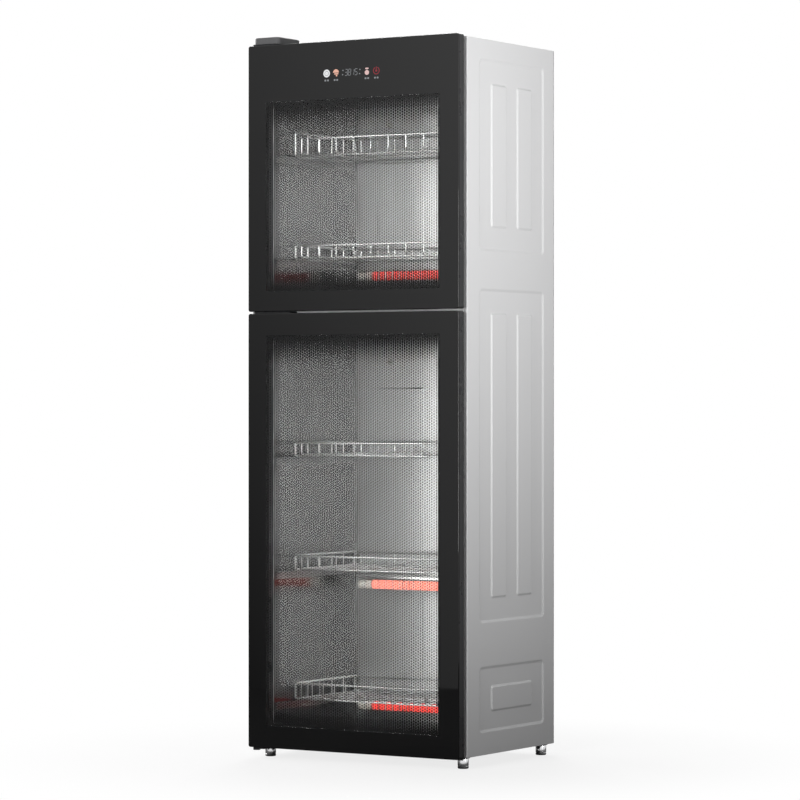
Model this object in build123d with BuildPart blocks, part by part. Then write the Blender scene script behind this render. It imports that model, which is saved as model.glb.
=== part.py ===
from build123d import *
import os

# Tall two-door dish sterilizer cabinet, in millimetres.
# +X is to the right, +Y to the back and +Z up. The origin is on the floor, at the
# middle of the footprint.

os.makedirs("parts", exist_ok=True)

# %% Driving dimensions: the whole cabinet
cabinet_width = 550.0
total_depth = 423.0
foot_height = 25.7
body_height = 1567.8
sheet = 0.8
seam = 0.2
running_gap = 0.3

# Doors
door_thickness = 23.6
door_standoff = 37.0
door_drop_below_body = 1.7
door_rise_above_body = 3.6
lower_door_height = 972.7
door_gap = 4.3
door_corner_radius = 5.0
glass_thickness = 4.0
glue_line = 0.2
door_wall = 2.5
window_side_border = 48.0
lower_window_bottom_border = 50.0
lower_window_top_border = 49.7
upper_window_bottom_border = 45.0
upper_window_top_border = 128.1
door_liner_inset = 14.0
door_liner_thickness = 6.4
inner_glass_lap = 6.0
gasket_inset = 20.0
gasket_width = 14.0
gasket_frame_overlap = 4.0

# Chambers
chamber_side_wall = 45.0
chamber_back_wall = 38.0
lower_chamber_rise = 36.3
top_compartment_height = 112.5
mullion_height = 75.0
lower_chamber_height = 897.0

# Side panel embossing
emboss_depth = 2.6
emboss_corner_radius = 9.0
rib_corner_radius = 6.0
recess_front_margin = 54.6
recess_back_margin = 46.9
rib_width = 66.5
rib_inset = 51.3
rib_gap = 47.0
upper_recess_top_margin = 44.5
upper_recess_height = 418.0
upper_rib_inset = 51.5
lower_recess_rise = 291.3
lower_recess_height = 728.0
lower_rib_inset = 51.0
bottom_recess_rise = 51.3
bottom_recess_height = 140.0
bottom_rib_inset = 42.0
panel_flange = 12.0
back_flange = 15.0

# Hinges
hinge_x_inset = 15.0
hinge_y_inset = 12.0
pin_radius = 4.0
pin_clearance = 0.05
pin_length = 10.0
bush_radius = 7.0
bush_length = 12.0
bush_boss_width = 30.0
bush_boss_height = 24.0
hinge_plate_thickness = 3.0
hinge_plate_nose = 8.0
top_hinge_plate_width = 62.0
hinge_door_clearance = 0.5
hinge_cover_width = 69.0
hinge_cover_depth = 92.0
hinge_cover_inset = 8.0
hinge_cover_radius = 12.0
hinge_cover_wall = 2.0
hinge_cover_rise = 22.5
middle_plate_length = 100.0
hinge_tab_height = 26.0
bottom_plate_length = 34.0
bottom_tab_height = 14.0
hinge_screw_radius = 2.5
hinge_screw_head_radius = 4.5
hinge_screw_head = 2.4

# Racks: name, wire height above the chamber floor, wall height, wire pitch, dip of the front rim
rack_front_setback = 78.5
rack_back_gap = 13.0
rack_side_gap = 3.0
rack_wire = 3.0
rack_rim_wire = 5.0
rack_cross_wire = 4.0
rack_cross_inset = 14.0
rack_dip_start = 30.0
rack_dip_run = 14.0
rack_dip_radius = 9.0
rail_ledge = 11.0
rail_height = 16.0
rail_thickness = 1.5
rail_end_gap = 8.0
upper_racks = [
    ("rack_1", 325.6, 48.4, 46.2, 14.0),
    ("rack_2", 92.0, 26.0, 46.2, 0.0),
]
lower_racks = [
    ("rack_3", 618.0, 26.0, 46.2, 0.0),
    ("rack_4", 360.0, 28.0, 46.2, 0.0),
    ("rack_5", 66.0, 33.0, 30.0, 0.0),
]

# Heaters: name, height above the chamber floor
heater_length = 360.0
heater_glow_length = 290.0
heater_trough_height = 26.0
heater_trough_depth = 28.0
heater_sheet = 1.0
heater_stand_off = 49.0
heater_tube_radius = 10.5
heater_cap_radius = 11.5
heater_clamp_width = 19.0
heater_clamp_inset = 95.0
heater_clamp_radius = 11.8
heater_clamp_ring = 1.6
heater_arm_width = 20.0
guard_wire = 1.6
guard_rail_wire = 2.4
guard_pitch = 18.5
hood_rise = 20.0
hood_reach = 84.0
hood_lip = 5.0
upper_heaters = [("upper_heater", 54.0)]
lower_heaters = [("middle_heater", 317.0), ("lower_heater", 38.5)]

# Feet
foot_radius = 12.0
foot_inset_x = 22.0
foot_front_inset = 57.0
foot_back_inset = 23.0
foot_collar_radius = 15.0
foot_collar = 2.7
foot_stud_radius = 4.0
foot_stud_length = 22.0
foot_boss_radius = 8.0
foot_boss_height = 24.0
foot_chamfer = 1.2

# Insulation
pad_thickness = 12.0

# Back, electrics and controls
vent_cover_thickness = 2.0
vent_width = 180.0
vent_height = 50.0
vent_slot_pitch = 10.0
vent_slot_width = 4.0
vent_centre_below_top = 60.0
gland_radius = 14.0
gland_bore_radius = 4.5
gland_body = 16.0
gland_x = 190.0
gland_below_top = 60.0
screw_radius = 2.0
screw_head_radius = 4.0
screw_head = 1.6
screw_length = 8.0
screw_edge_inset = 8.0
screw_rows = 5
tray_width = 230.0
tray_depth = 170.0
tray_height = 38.0
tray_wall = 1.5
board_thickness = 1.6
board_margin = 20.0
standoff_height = 8.0
standoff_radius = 3.5
probe_radius = 2.5
probe_reach = 12.0
probe_flange_radius = 7.0
probe_x = -137.0
lower_probe_height = 829.0
upper_probe_height = 405.0
cutout_radius = 12.0
cutout_depth = 9.0
sensor_width = 12.0
sensor_depth = 8.0
sensor_height = 34.0
control_rise = 71.1
control_board_width = 176.0
control_board_height = 44.0
touch_pad_radius = 8.75
touch_pad_x = (-65.0, -40.5, 40.5, 65.0)
display_width = 52.0
display_height = 20.0
display_depth = 5.0
liner_emboss = 2.0
liner_emboss_width = 124.0
liner_emboss_inner = 47.0
liner_emboss_top_gap = 128.0
liner_emboss_bottom_gap = 24.0
liner_emboss_radius = 6.0

# %% Places worked out from the driving dimensions
half_width = cabinet_width / 2
door_front = -total_depth / 2
front_plane = door_front + door_standoff
back_face = total_depth / 2 - vent_cover_thickness
back_panel_front = back_face - sheet
side_panel_back = back_panel_front - seam
body_bottom = foot_height
body_top = body_bottom + body_height

lower_door_bottom = body_bottom - door_drop_below_body
lower_door_top = lower_door_bottom + lower_door_height
upper_door_bottom = lower_door_top + door_gap
upper_door_top = body_top + door_rise_above_body

chamber_half_width = half_width - chamber_side_wall
chamber_back = back_face - chamber_back_wall
chamber_front = front_plane + sheet + seam
lower_floor = body_bottom + lower_chamber_rise
lower_ceiling = lower_floor + lower_chamber_height
upper_floor = lower_ceiling + mullion_height
upper_ceiling = body_top - top_compartment_height

hinge_x = -half_width + hinge_x_inset
hinge_y = door_front + hinge_y_inset
plate_left = hinge_x - hinge_plate_nose
plate_front = hinge_y - hinge_plate_nose
plate_right = plate_left + top_hinge_plate_width
tab_front = front_plane - hinge_plate_thickness - seam
cover_left = -half_width + hinge_cover_inset
cover_right = cover_left + hinge_cover_width
cover_front = door_front + hinge_cover_inset
cover_back = cover_front + hinge_cover_depth
top_plate_bottom = upper_door_top + hinge_door_clearance
top_plate_top = top_plate_bottom + hinge_plate_thickness
middle_plate_bottom = (lower_door_top + upper_door_bottom - hinge_plate_thickness) / 2
middle_plate_top = middle_plate_bottom + hinge_plate_thickness
middle_centre = (middle_plate_bottom + middle_plate_top) / 2
bottom_plate_top = lower_door_bottom - hinge_door_clearance

# Screws: down through the top plate, and into the front frame through the other two
top_screw_spots = [(plate_left + share * top_hinge_plate_width, (front_plane + cover_back) / 2)
                   for share in (0.3, 0.7)]
middle_screw_spots = [(plate_left + share * middle_plate_length, middle_centre + side * hinge_tab_height / 3)
                      for share in (0.25, 0.8) for side in (-1, 1)]
bottom_screw_spots = [(plate_left + share * bottom_plate_length, bottom_plate_top + 0.6 * bottom_tab_height)
                      for share in (0.3, 0.75)]


def upright(y):
    """Upright plane at depth y: x runs right, y runs up, and it faces the front."""
    return Plane.XZ.offset(-y)


def finish(piece, label):
    """Name a finished piece and write it out."""
    piece.part.label = label
    export_step(piece.part, f"parts/{label}.step")
    print(f"{label}: {len(piece.part.solids())} solids, {piece.part.volume / 1000:.1f} cm3")


def span_rectangle(x_low, x_high, y_low, y_high, mode=Mode.ADD):
    """Rectangle between two corners of the current sketch."""
    with Locations(((x_low + x_high) / 2, (y_low + y_high) / 2)):
        Rectangle(x_high - x_low, y_high - y_low, mode=mode)


def span_rounded(x_low, x_high, y_low, y_high, radius, mode=Mode.ADD):
    """Rounded rectangle between two corners of the current sketch."""
    with Locations(((x_low + x_high) / 2, (y_low + y_high) / 2)):
        RectangleRounded(x_high - x_low, y_high - y_low, radius, mode=mode)


def span_box(x_low, x_high, y_low, y_high, z_low, z_high, mode=Mode.ADD):
    """Box between two corners of the current part."""
    with Locations(((x_low + x_high) / 2, (y_low + y_high) / 2, (z_low + z_high) / 2)):
        Box(x_high - x_low, y_high - y_low, z_high - z_low, mode=mode)


# %% Side panels: one embossed sheet a side, folded inwards at the front and the back
recess_front = front_plane + recess_front_margin
recess_back = side_panel_back - recess_back_margin
recess_spans = [
    (body_top - upper_recess_top_margin - upper_recess_height, body_top - upper_recess_top_margin),
    (body_bottom + lower_recess_rise, body_bottom + lower_recess_rise + lower_recess_height),
]
rib_insets = [upper_rib_inset, lower_rib_inset]
bottom_recess = body_bottom + bottom_recess_rise
rib_fronts = [recess_front + rib_inset, recess_front + rib_inset + rib_width + rib_gap]


def side_form(face_x, growth):
    """Solid behind a panel's surface: flat, with sunk fields and raised ribs in them."""
    with BuildPart() as form:
        span_box(face_x - panel_flange, face_x, front_plane + growth, side_panel_back - growth,
                 body_bottom + growth, body_top - growth)
        for (low, high), inset in zip(recess_spans, rib_insets):
            with BuildSketch(Plane.YZ.offset(face_x - emboss_depth)):
                span_rounded(recess_front - growth, recess_back + growth, low - growth, high + growth,
                             emboss_corner_radius + growth)
                for rib_front in rib_fronts:
                    span_rounded(rib_front + growth, rib_front + rib_width - growth,
                                 low + inset + growth, high - inset - growth,
                                 rib_corner_radius, mode=Mode.SUBTRACT)
            extrude(amount=emboss_depth, mode=Mode.SUBTRACT)
        with BuildSketch(Plane.YZ.offset(face_x - emboss_depth)):
            span_rounded(recess_front - growth, recess_back + growth,
                         bottom_recess - growth, bottom_recess + bottom_recess_height + growth,
                         emboss_corner_radius + growth)
            span_rounded(rib_fronts[0] + growth, rib_fronts[1] + rib_width - growth,
                         bottom_recess + bottom_rib_inset + growth,
                         bottom_recess + bottom_recess_height - bottom_rib_inset - growth,
                         rib_corner_radius, mode=Mode.SUBTRACT)
        extrude(amount=emboss_depth, mode=Mode.SUBTRACT)
    return form.part


screw_xs = [-(half_width - screw_edge_inset), half_width - screw_edge_inset]
screw_low = body_bottom + 2 * screw_edge_inset
screw_step = (body_height - 4 * screw_edge_inset) / (screw_rows - 1)
screw_spots = [(x, screw_low + row * screw_step) for x in screw_xs for row in range(screw_rows)]

with BuildPart() as right_side_panel:
    add(side_form(half_width, 0))
    add(side_form(half_width - sheet, sheet), mode=Mode.SUBTRACT)
    span_box(half_width - panel_flange - sheet, half_width - sheet, front_plane + sheet,
             side_panel_back - sheet, body_bottom - sheet, body_bottom + sheet, mode=Mode.SUBTRACT)
    span_box(half_width - panel_flange - sheet, half_width - sheet, front_plane + sheet,
             side_panel_back - sheet, body_top - sheet, body_top + sheet, mode=Mode.SUBTRACT)
    span_box(half_width - back_flange, half_width - panel_flange, side_panel_back - sheet,
             side_panel_back, body_bottom, body_top)
    with BuildSketch(upright(side_panel_back)):
        with Locations(*[spot for spot in screw_spots if spot[0] > 0]):
            Circle(screw_radius + seam)
    extrude(amount=2 * sheet, both=True, mode=Mode.SUBTRACT)
finish(right_side_panel, "right_side_panel")

with BuildPart() as left_side_panel:
    mirror(right_side_panel.part, about=Plane.YZ)
finish(left_side_panel, "left_side_panel")

# %% Top, base and back panels
panel_inner = half_width - sheet - seam
with BuildPart() as top_panel:
    span_box(-panel_inner, panel_inner, chamber_front, side_panel_back - sheet - seam,
             body_top - sheet - panel_flange, body_top - seam)
    span_box(-panel_inner + sheet, panel_inner - sheet, chamber_front, side_panel_back - sheet - seam,
             body_top - sheet - panel_flange, body_top - seam - sheet, mode=Mode.SUBTRACT)
finish(top_panel, "top_panel")

foot_x = half_width - foot_inset_x
foot_front_y = door_front + foot_front_inset
foot_back_y = total_depth / 2 - foot_back_inset
foot_spots = [(-foot_x, foot_front_y), (foot_x, foot_front_y), (-foot_x, foot_back_y), (foot_x, foot_back_y)]
with BuildPart() as base_panel:
    span_box(-panel_inner, panel_inner, chamber_front, side_panel_back - sheet - seam,
             body_bottom, body_bottom + panel_flange)
    span_box(-panel_inner + sheet, panel_inner - sheet, chamber_front, side_panel_back - sheet - seam,
             body_bottom + sheet, body_bottom + panel_flange, mode=Mode.SUBTRACT)
    with BuildSketch(Plane.XY.offset(body_bottom)):
        with Locations(*foot_spots):
            Circle(foot_boss_radius + seam)
    extrude(amount=sheet, mode=Mode.SUBTRACT)
finish(base_panel, "base_panel")

vent_z = body_top - vent_centre_below_top
gland_z = body_top - gland_below_top
vent_rows = int((vent_height - 2 * vent_slot_pitch) // vent_slot_pitch) + 1
vent_slot_length = vent_width - 4 * vent_slot_pitch


def vent_slots():
    """Level slots of the cooling vent, in the current sketch."""
    with Locations((0, vent_z)):
        with GridLocations(vent_slot_length, vent_slot_pitch, 1, vent_rows):
            SlotOverall(vent_slot_length, vent_slot_width)


with BuildPart() as back_panel:
    with BuildSketch(upright(back_face)):
        span_rectangle(-half_width + seam, half_width - seam, body_bottom + seam, body_top - seam)
        with Locations(*screw_spots):
            Circle(screw_radius + seam, mode=Mode.SUBTRACT)
        with Locations((gland_x, gland_z)):
            Circle(gland_radius - 2 * vent_cover_thickness, mode=Mode.SUBTRACT)
    extrude(amount=sheet)
    with BuildSketch(upright(back_face)):
        vent_slots()
    extrude(amount=sheet, mode=Mode.SUBTRACT)
finish(back_panel, "back_panel")

with BuildPart() as back_vent_cover:
    with BuildSketch(upright(total_depth / 2)):
        with Locations((0, vent_z)):
            RectangleRounded(vent_width, vent_height, vent_slot_width)
    extrude(amount=vent_cover_thickness)
    with BuildSketch(upright(total_depth / 2)):
        vent_slots()
    extrude(amount=vent_cover_thickness, mode=Mode.SUBTRACT)
finish(back_vent_cover, "back_vent_cover")

with BuildPart() as cord_gland:
    with BuildSketch(upright(total_depth / 2)):
        with Locations((gland_x, gland_z)):
            Circle(gland_radius)
    extrude(amount=vent_cover_thickness)
    with BuildSketch(upright(back_face)):
        with Locations((gland_x, gland_z)):
            Circle(gland_radius - 2 * vent_cover_thickness - seam)
    extrude(amount=gland_body)
    with BuildSketch(upright(total_depth / 2)):
        with Locations((gland_x, gland_z)):
            Circle(gland_bore_radius)
    extrude(amount=vent_cover_thickness + gland_body, mode=Mode.SUBTRACT)
finish(cord_gland, "cord_gland")

with BuildPart() as back_screws:
    with BuildSketch(upright(back_face)):
        with Locations(*screw_spots):
            Circle(screw_radius)
    extrude(amount=screw_length)
    with BuildSketch(upright(back_face + screw_head)):
        with Locations(*screw_spots):
            Circle(screw_head_radius)
    extrude(amount=screw_head)
finish(back_screws, "back_screws")

# %% Front frame: two stiles, three rails
stile_outer = half_width - panel_flange - seam
frame_top = body_top - seam
with BuildPart() as front_frame:
    for side in (-1, 1):
        with BuildSketch(upright(front_plane)):
            span_rectangle(min(side * stile_outer, side * chamber_half_width),
                           max(side * stile_outer, side * chamber_half_width), body_bottom, frame_top)
        extrude(amount=-sheet)
    for low, high in ((body_bottom, lower_floor), (lower_ceiling, upper_floor), (upper_ceiling, frame_top)):
        with BuildSketch(upright(front_plane)):
            span_rectangle(-chamber_half_width + seam, chamber_half_width - seam, low, high)
        extrude(amount=-sheet)
    with BuildSketch(upright(front_plane)):
        with Locations(*middle_screw_spots, *bottom_screw_spots):
            Circle(hinge_screw_radius + seam)
    extrude(amount=-sheet, mode=Mode.SUBTRACT)
finish(front_frame, "front_frame")


# %% Chamber liners: four sheets round each chamber and a pressed back
def liner_shell(label, floor, ceiling):
    """The two sides, the floor and the ceiling of one chamber."""
    liner_back_edge = chamber_back - seam
    with BuildPart() as shell:
        for side in (-1, 1):
            wall = sorted((side * chamber_half_width, side * (chamber_half_width + sheet)))
            span_box(wall[0], wall[1], chamber_front, liner_back_edge, floor, ceiling)
        for low, high in ((floor - sheet - seam, floor - seam), (ceiling + seam, ceiling + sheet + seam)):
            span_box(-chamber_half_width - sheet, chamber_half_width + sheet,
                     chamber_front, liner_back_edge, low, high)
    finish(shell, label)


def liner_form(y, growth, floor, ceiling):
    """Solid behind a chamber's back wall, with two raised fields."""
    with BuildPart() as form:
        span_box(-chamber_half_width - sheet, chamber_half_width + sheet, y, y + 2 * liner_emboss,
                 floor - sheet, ceiling + sheet)
        with BuildSketch(upright(y)):
            for side in (-1, 1):
                field = sorted((side * (liner_emboss_inner + growth),
                                side * (liner_emboss_inner + liner_emboss_width - growth)))
                span_rounded(field[0], field[1], floor + liner_emboss_bottom_gap + growth,
                             ceiling - liner_emboss_top_gap - growth, liner_emboss_radius - growth)
        extrude(amount=liner_emboss)
    return form.part


def liner_back(label, floor, ceiling, probe_height):
    """Pressed back wall of one chamber, with the hole for its probe."""
    with BuildPart() as back:
        add(liner_form(chamber_back, 0, floor, ceiling))
        add(liner_form(chamber_back + sheet, sheet, floor, ceiling), mode=Mode.SUBTRACT)
        with BuildSketch(upright(chamber_back)):
            with Locations((probe_x, floor + probe_height)):
                Circle(probe_radius + seam)
        extrude(amount=-2 * sheet, mode=Mode.SUBTRACT)
        span_box(-half_width, half_width, chamber_back + sheet, chamber_back + 3 * liner_emboss,
                 floor - 2 * sheet, ceiling + 2 * sheet, mode=Mode.SUBTRACT)
    finish(back, label)


liner_shell("upper_liner_shell", upper_floor, upper_ceiling)
liner_back("upper_liner_back", upper_floor, upper_ceiling, upper_probe_height)
liner_shell("lower_liner_shell", lower_floor, lower_ceiling)
liner_back("lower_liner_back", lower_floor, lower_ceiling, lower_probe_height)

# %% Probes and cut-outs: their places on the chambers' back walls
probe_spots = [(probe_x, upper_floor + upper_probe_height), (probe_x, lower_floor + lower_probe_height)]
cutout_spots = [(0, z) for x, z in probe_spots]
liner_back_rear = chamber_back + sheet + seam

# %% Insulation pads: against every outer face of the two liners
pad_inner = chamber_half_width + sheet + running_gap
pad_front = front_plane + sheet + 2 * seam
pad_back = chamber_back - seam
pad_lows = [
    lower_floor - sheet - seam - running_gap - pad_thickness,
    lower_ceiling + sheet + seam + running_gap,
    upper_floor - sheet - seam - running_gap - pad_thickness,
    upper_ceiling + sheet + seam + running_gap,
]
with BuildPart() as insulation_pads:
    for side in (-1, 1):
        slab = sorted((side * pad_inner, side * (pad_inner + pad_thickness)))
        span_box(slab[0], slab[1], pad_front + sensor_depth, pad_back, lower_floor, upper_ceiling)
    for low in pad_lows:
        span_box(-chamber_half_width, chamber_half_width, pad_front, pad_back, low, low + pad_thickness)
    with BuildSketch(upright(liner_back_rear + running_gap)):
        span_rectangle(-chamber_half_width, chamber_half_width, lower_floor, upper_ceiling)
        with Locations(*probe_spots):
            Circle(probe_flange_radius, mode=Mode.SUBTRACT)
        with Locations(*cutout_spots):
            Circle(cutout_radius + running_gap, mode=Mode.SUBTRACT)
    extrude(amount=-pad_thickness)
finish(insulation_pads, "insulation_pads")


# %% Rack rails: a ledge a side for each rack
rail_front = front_plane + rail_end_gap
rail_back = chamber_back - rail_end_gap
rack_levels = [upper_floor + rack[1] for rack in upper_racks]
rack_levels += [lower_floor + rack[1] for rack in lower_racks]
side_bar_drop = rack_cross_wire / 2 + rack_wire / 2


def rail_top(wire_level):
    """Top of the ledge under a rack whose floor wires lie at wire_level."""
    return wire_level - side_bar_drop - rack_rim_wire / 2 - running_gap


def rack_rails(label, side):
    """All the ledges on one side of the cabinet."""
    with BuildPart() as rails:
        for level in rack_levels:
            ledge_top = rail_top(level)
            ledge = sorted((side * (chamber_half_width - rail_ledge), side * chamber_half_width))
            flange = sorted((side * (chamber_half_width - rail_thickness), side * chamber_half_width))
            span_box(ledge[0], ledge[1], rail_front, rail_back, ledge_top - rail_thickness, ledge_top)
            span_box(flange[0], flange[1], rail_front, rail_back, ledge_top - rail_height, ledge_top)
    finish(rails, label)


rack_rails("rack_rails_left", -1)
rack_rails("rack_rails_right", 1)

# %% Wire racks: a floor grid, a front, a back and two side frames each
rack_half_width = chamber_half_width - rack_side_gap
rack_front = front_plane + rack_front_setback
rack_back = chamber_back - rack_back_gap
rim_radius = rack_rim_wire / 2
wall_ys = (rack_front + rim_radius, rack_back - rim_radius)
side_xs = (-rack_half_width + rim_radius, rack_half_width - rim_radius)


def centred_row(reach, pitch):
    """Places pitch apart, centred on nought and no further out than reach."""
    count = int(2 * reach // pitch) + 1
    return [(index - (count - 1) / 2) * pitch for index in range(count)]


def rim_bar(y, level, dip):
    """One rim wire from side to side, with a dipped middle where dip is set."""
    ends = rack_half_width
    if dip:
        start = ends - rack_dip_start
        with BuildLine() as path:
            FilletPolyline((-ends, y, level), (-start, y, level), (-start + rack_dip_run, y, level - dip),
                           (start - rack_dip_run, y, level - dip), (start, y, level), (ends, y, level),
                           radius=rack_dip_radius)
        with BuildSketch(Plane.YZ.offset(-ends)) as section:
            with Locations((y, level)):
                Circle(rim_radius)
        return Part() + sweep(section.sketch, path=path.wire())
    with BuildPart() as bar:
        with BuildSketch(Plane.YZ.offset(-ends)):
            with Locations((y, level)):
                Circle(rim_radius)
        extrude(amount=2 * ends)
    return bar.part


def wire_rack(label, level, wall_height, pitch, dip):
    """One rack, with its floor wires at level."""
    rim_level = level + wall_height
    wires = centred_row(rack_half_width - rack_rim_wire - pitch / 4, pitch)
    bar_level = level - side_bar_drop
    with BuildPart() as rack:
        # Floor wires, and the cross wires that tie them from below.
        floor_front = wall_ys[0] + rack_wire / 2 + seam
        floor_back = wall_ys[1] - rack_wire / 2 - seam
        with BuildSketch(upright(floor_front)):
            with Locations(*[(x, level) for x in wires]):
                Circle(rack_wire / 2)
        extrude(amount=-(floor_back - floor_front))
        cross_reach = side_xs[1] - rim_radius - seam
        middle_y = (rack_front + rack_back) / 2
        cross_ys = (rack_front + rack_cross_inset, middle_y, rack_back - rack_cross_inset)
        with BuildSketch(Plane.YZ.offset(-cross_reach)):
            with Locations(*[(y, level - rack_wire / 2 - rack_cross_wire / 4) for y in cross_ys]):
                Circle(rack_cross_wire / 2)
        extrude(amount=2 * cross_reach)
        # Front and back walls: a rim and the upturned ends of the floor wires.
        for y, wall_dip in ((wall_ys[0], dip), (wall_ys[1], 0.0)):
            add(rim_bar(y, rim_level, wall_dip))
            for x in wires:
                dipped = abs(x) < rack_half_width - rack_dip_start
                top = rim_level - (wall_dip if dipped else 0.0)
                with Locations((x, y, (level - rack_wire / 2 + top) / 2)):
                    Cylinder(rack_wire / 2, top - level + rack_wire / 2)
        # Sides: a rim, a runner and three uprights.
        side_front = wall_ys[0] + rim_radius + seam
        side_back = wall_ys[1] - rim_radius - seam
        with BuildSketch(upright(side_front)):
            with Locations(*[(x, z) for x in side_xs for z in (rim_level, bar_level)]):
                Circle(rim_radius)
        extrude(amount=-(side_back - side_front))
        upright_ys = (side_front + rack_rim_wire, middle_y, side_back - rack_rim_wire)
        for x in side_xs:
            for y in upright_ys:
                with Locations((x, y, (bar_level + rim_level) / 2)):
                    Cylinder(rack_wire / 2, rim_level - bar_level)
    finish(rack, label)


for floor, racks in ((upper_floor, upper_racks), (lower_floor, lower_racks)):
    for name, height, wall_height, pitch, dip in racks:
        wire_rack(name, floor + height, wall_height, pitch, dip)

# %% Heaters: an open trough on two arms, a glowing tube on ceramic caps, clamps and a guard
heater_y = chamber_back - heater_stand_off - heater_trough_depth / 2 + heater_sheet
trough_front = heater_y - heater_trough_depth / 2
trough_back = heater_y + heater_trough_depth / 2
heater_half = heater_length / 2
glow_half = heater_glow_length / 2


def heater(name, z):
    """Trough and tube of one heater, centred at height z."""
    half_height = heater_trough_height / 2
    with BuildPart() as trough:
        span_box(-heater_half, heater_half, trough_front, trough_back, z - half_height, z + half_height)
        span_box(-heater_half + heater_sheet, heater_half - heater_sheet, trough_front,
                 trough_back - heater_sheet, z - half_height + heater_sheet, z + half_height - heater_sheet,
                 mode=Mode.SUBTRACT)
        for side in (-1, 1):
            arm_x = side * (heater_half - heater_arm_width)
            span_box(arm_x - heater_arm_width / 2, arm_x + heater_arm_width / 2, trough_back - heater_sheet,
                     chamber_back - liner_emboss - running_gap, z - heater_sheet, z + heater_sheet)
            span_box(arm_x - heater_arm_width / 2, arm_x + heater_arm_width / 2,
                     chamber_back - liner_emboss - running_gap - heater_sheet,
                     chamber_back - liner_emboss - running_gap, z - half_height, z + half_height)
    finish(trough, f"{name}_trough")
    with BuildPart() as tube:
        with BuildSketch(Plane.YZ.offset(-glow_half)):
            with Locations((heater_y, z)):
                Circle(heater_tube_radius)
        extrude(amount=heater_glow_length)
    finish(tube, f"{name}_tube")


heater_levels = [(name, upper_floor + height) for name, height in upper_heaters]
heater_levels += [(name, lower_floor + height) for name, height in lower_heaters]
for name, level in heater_levels:
    heater(name, level)

cap_length = heater_half - heater_sheet - glow_half - 2 * seam
with BuildPart() as heater_caps:
    for name, level in heater_levels:
        for side in (-1, 1):
            with Locations((side * (glow_half + seam + cap_length / 2), heater_y, level)):
                Cylinder(heater_cap_radius, cap_length, rotation=(0, 90, 0))
finish(heater_caps, "heater_caps")

clamp_x = glow_half - heater_clamp_inset
ring_offset = (heater_clamp_width - heater_clamp_ring) / 2
bar_front = heater_y + (heater_tube_radius + seam + heater_clamp_radius) / 2
with BuildPart() as heater_clamps:
    for name, level in heater_levels:
        for side in (-1, 1):
            for ring_x in (side * clamp_x - ring_offset, side * clamp_x + ring_offset):
                with Locations((ring_x, heater_y, level)):
                    Cylinder(heater_clamp_radius, heater_clamp_ring, rotation=(0, 90, 0))
                    Cylinder(heater_tube_radius + seam, heater_clamp_ring, rotation=(0, 90, 0),
                             mode=Mode.SUBTRACT)
            span_box(side * clamp_x - heater_clamp_width / 2, side * clamp_x + heater_clamp_width / 2,
                     bar_front, trough_back - heater_sheet - seam,
                     level - heater_tube_radius / 2, level + heater_tube_radius / 2)
finish(heater_clamps, "heater_clamps")

guard_y = trough_front - seam - guard_rail_wire / 2
with BuildPart() as heater_guards:
    for name, level in heater_levels:
        guard_reach = (heater_trough_height - guard_rail_wire) / 2
        with BuildSketch(Plane.YZ.offset(-heater_half)):
            with Locations((guard_y, level - guard_reach), (guard_y, level + guard_reach)):
                Circle(guard_rail_wire / 2)
        extrude(amount=heater_length)
        for x in centred_row(heater_half - guard_wire, guard_pitch):
            with Locations((x, guard_y, level)):
                Cylinder(guard_wire / 2, 2 * guard_reach)
finish(heater_guards, "heater_guards")

hood_z = heater_levels[1][1] + hood_rise
with BuildPart() as middle_heater_hood:
    hood_back = chamber_back - liner_emboss - running_gap
    span_box(-heater_half, heater_half, hood_back - hood_reach, hood_back, hood_z - heater_sheet, hood_z)
    span_box(-heater_half, heater_half, hood_back - hood_reach, hood_back - hood_reach + heater_sheet,
             hood_z - hood_lip, hood_z)
    span_box(-heater_half, heater_half, hood_back - heater_sheet, hood_back, hood_z, hood_z + hood_lip)
finish(middle_heater_hood, "middle_heater_hood")

# %% Probes and cut-outs on the chambers' back walls
with BuildPart() as temperature_probes:
    with BuildSketch(upright(chamber_back - seam)):
        with Locations(*probe_spots):
            Circle(probe_flange_radius)
    extrude(amount=liner_emboss)
    with BuildSketch(upright(chamber_back + probe_reach / 2)):
        with Locations(*probe_spots):
            Circle(probe_radius)
    extrude(amount=probe_reach * 1.5)
finish(temperature_probes, "temperature_probes")

with BuildPart() as thermal_cutouts:
    with BuildSketch(upright(liner_back_rear)):
        with Locations(*cutout_spots):
            Circle(cutout_radius)
    extrude(amount=-cutout_depth)
finish(thermal_cutouts, "thermal_cutouts")

# %% Door sensors behind the right stile
sensor_x = (chamber_half_width + stile_outer) / 2
sensor_levels = [(lower_floor + lower_ceiling) / 2, (upper_floor + upper_ceiling) / 2]
with BuildPart() as door_sensors:
    for level in sensor_levels:
        span_box(sensor_x - sensor_width / 2, sensor_x + sensor_width / 2, chamber_front,
                 chamber_front + sensor_depth, level - sensor_height / 2, level + sensor_height / 2)
finish(door_sensors, "door_sensors")

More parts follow.
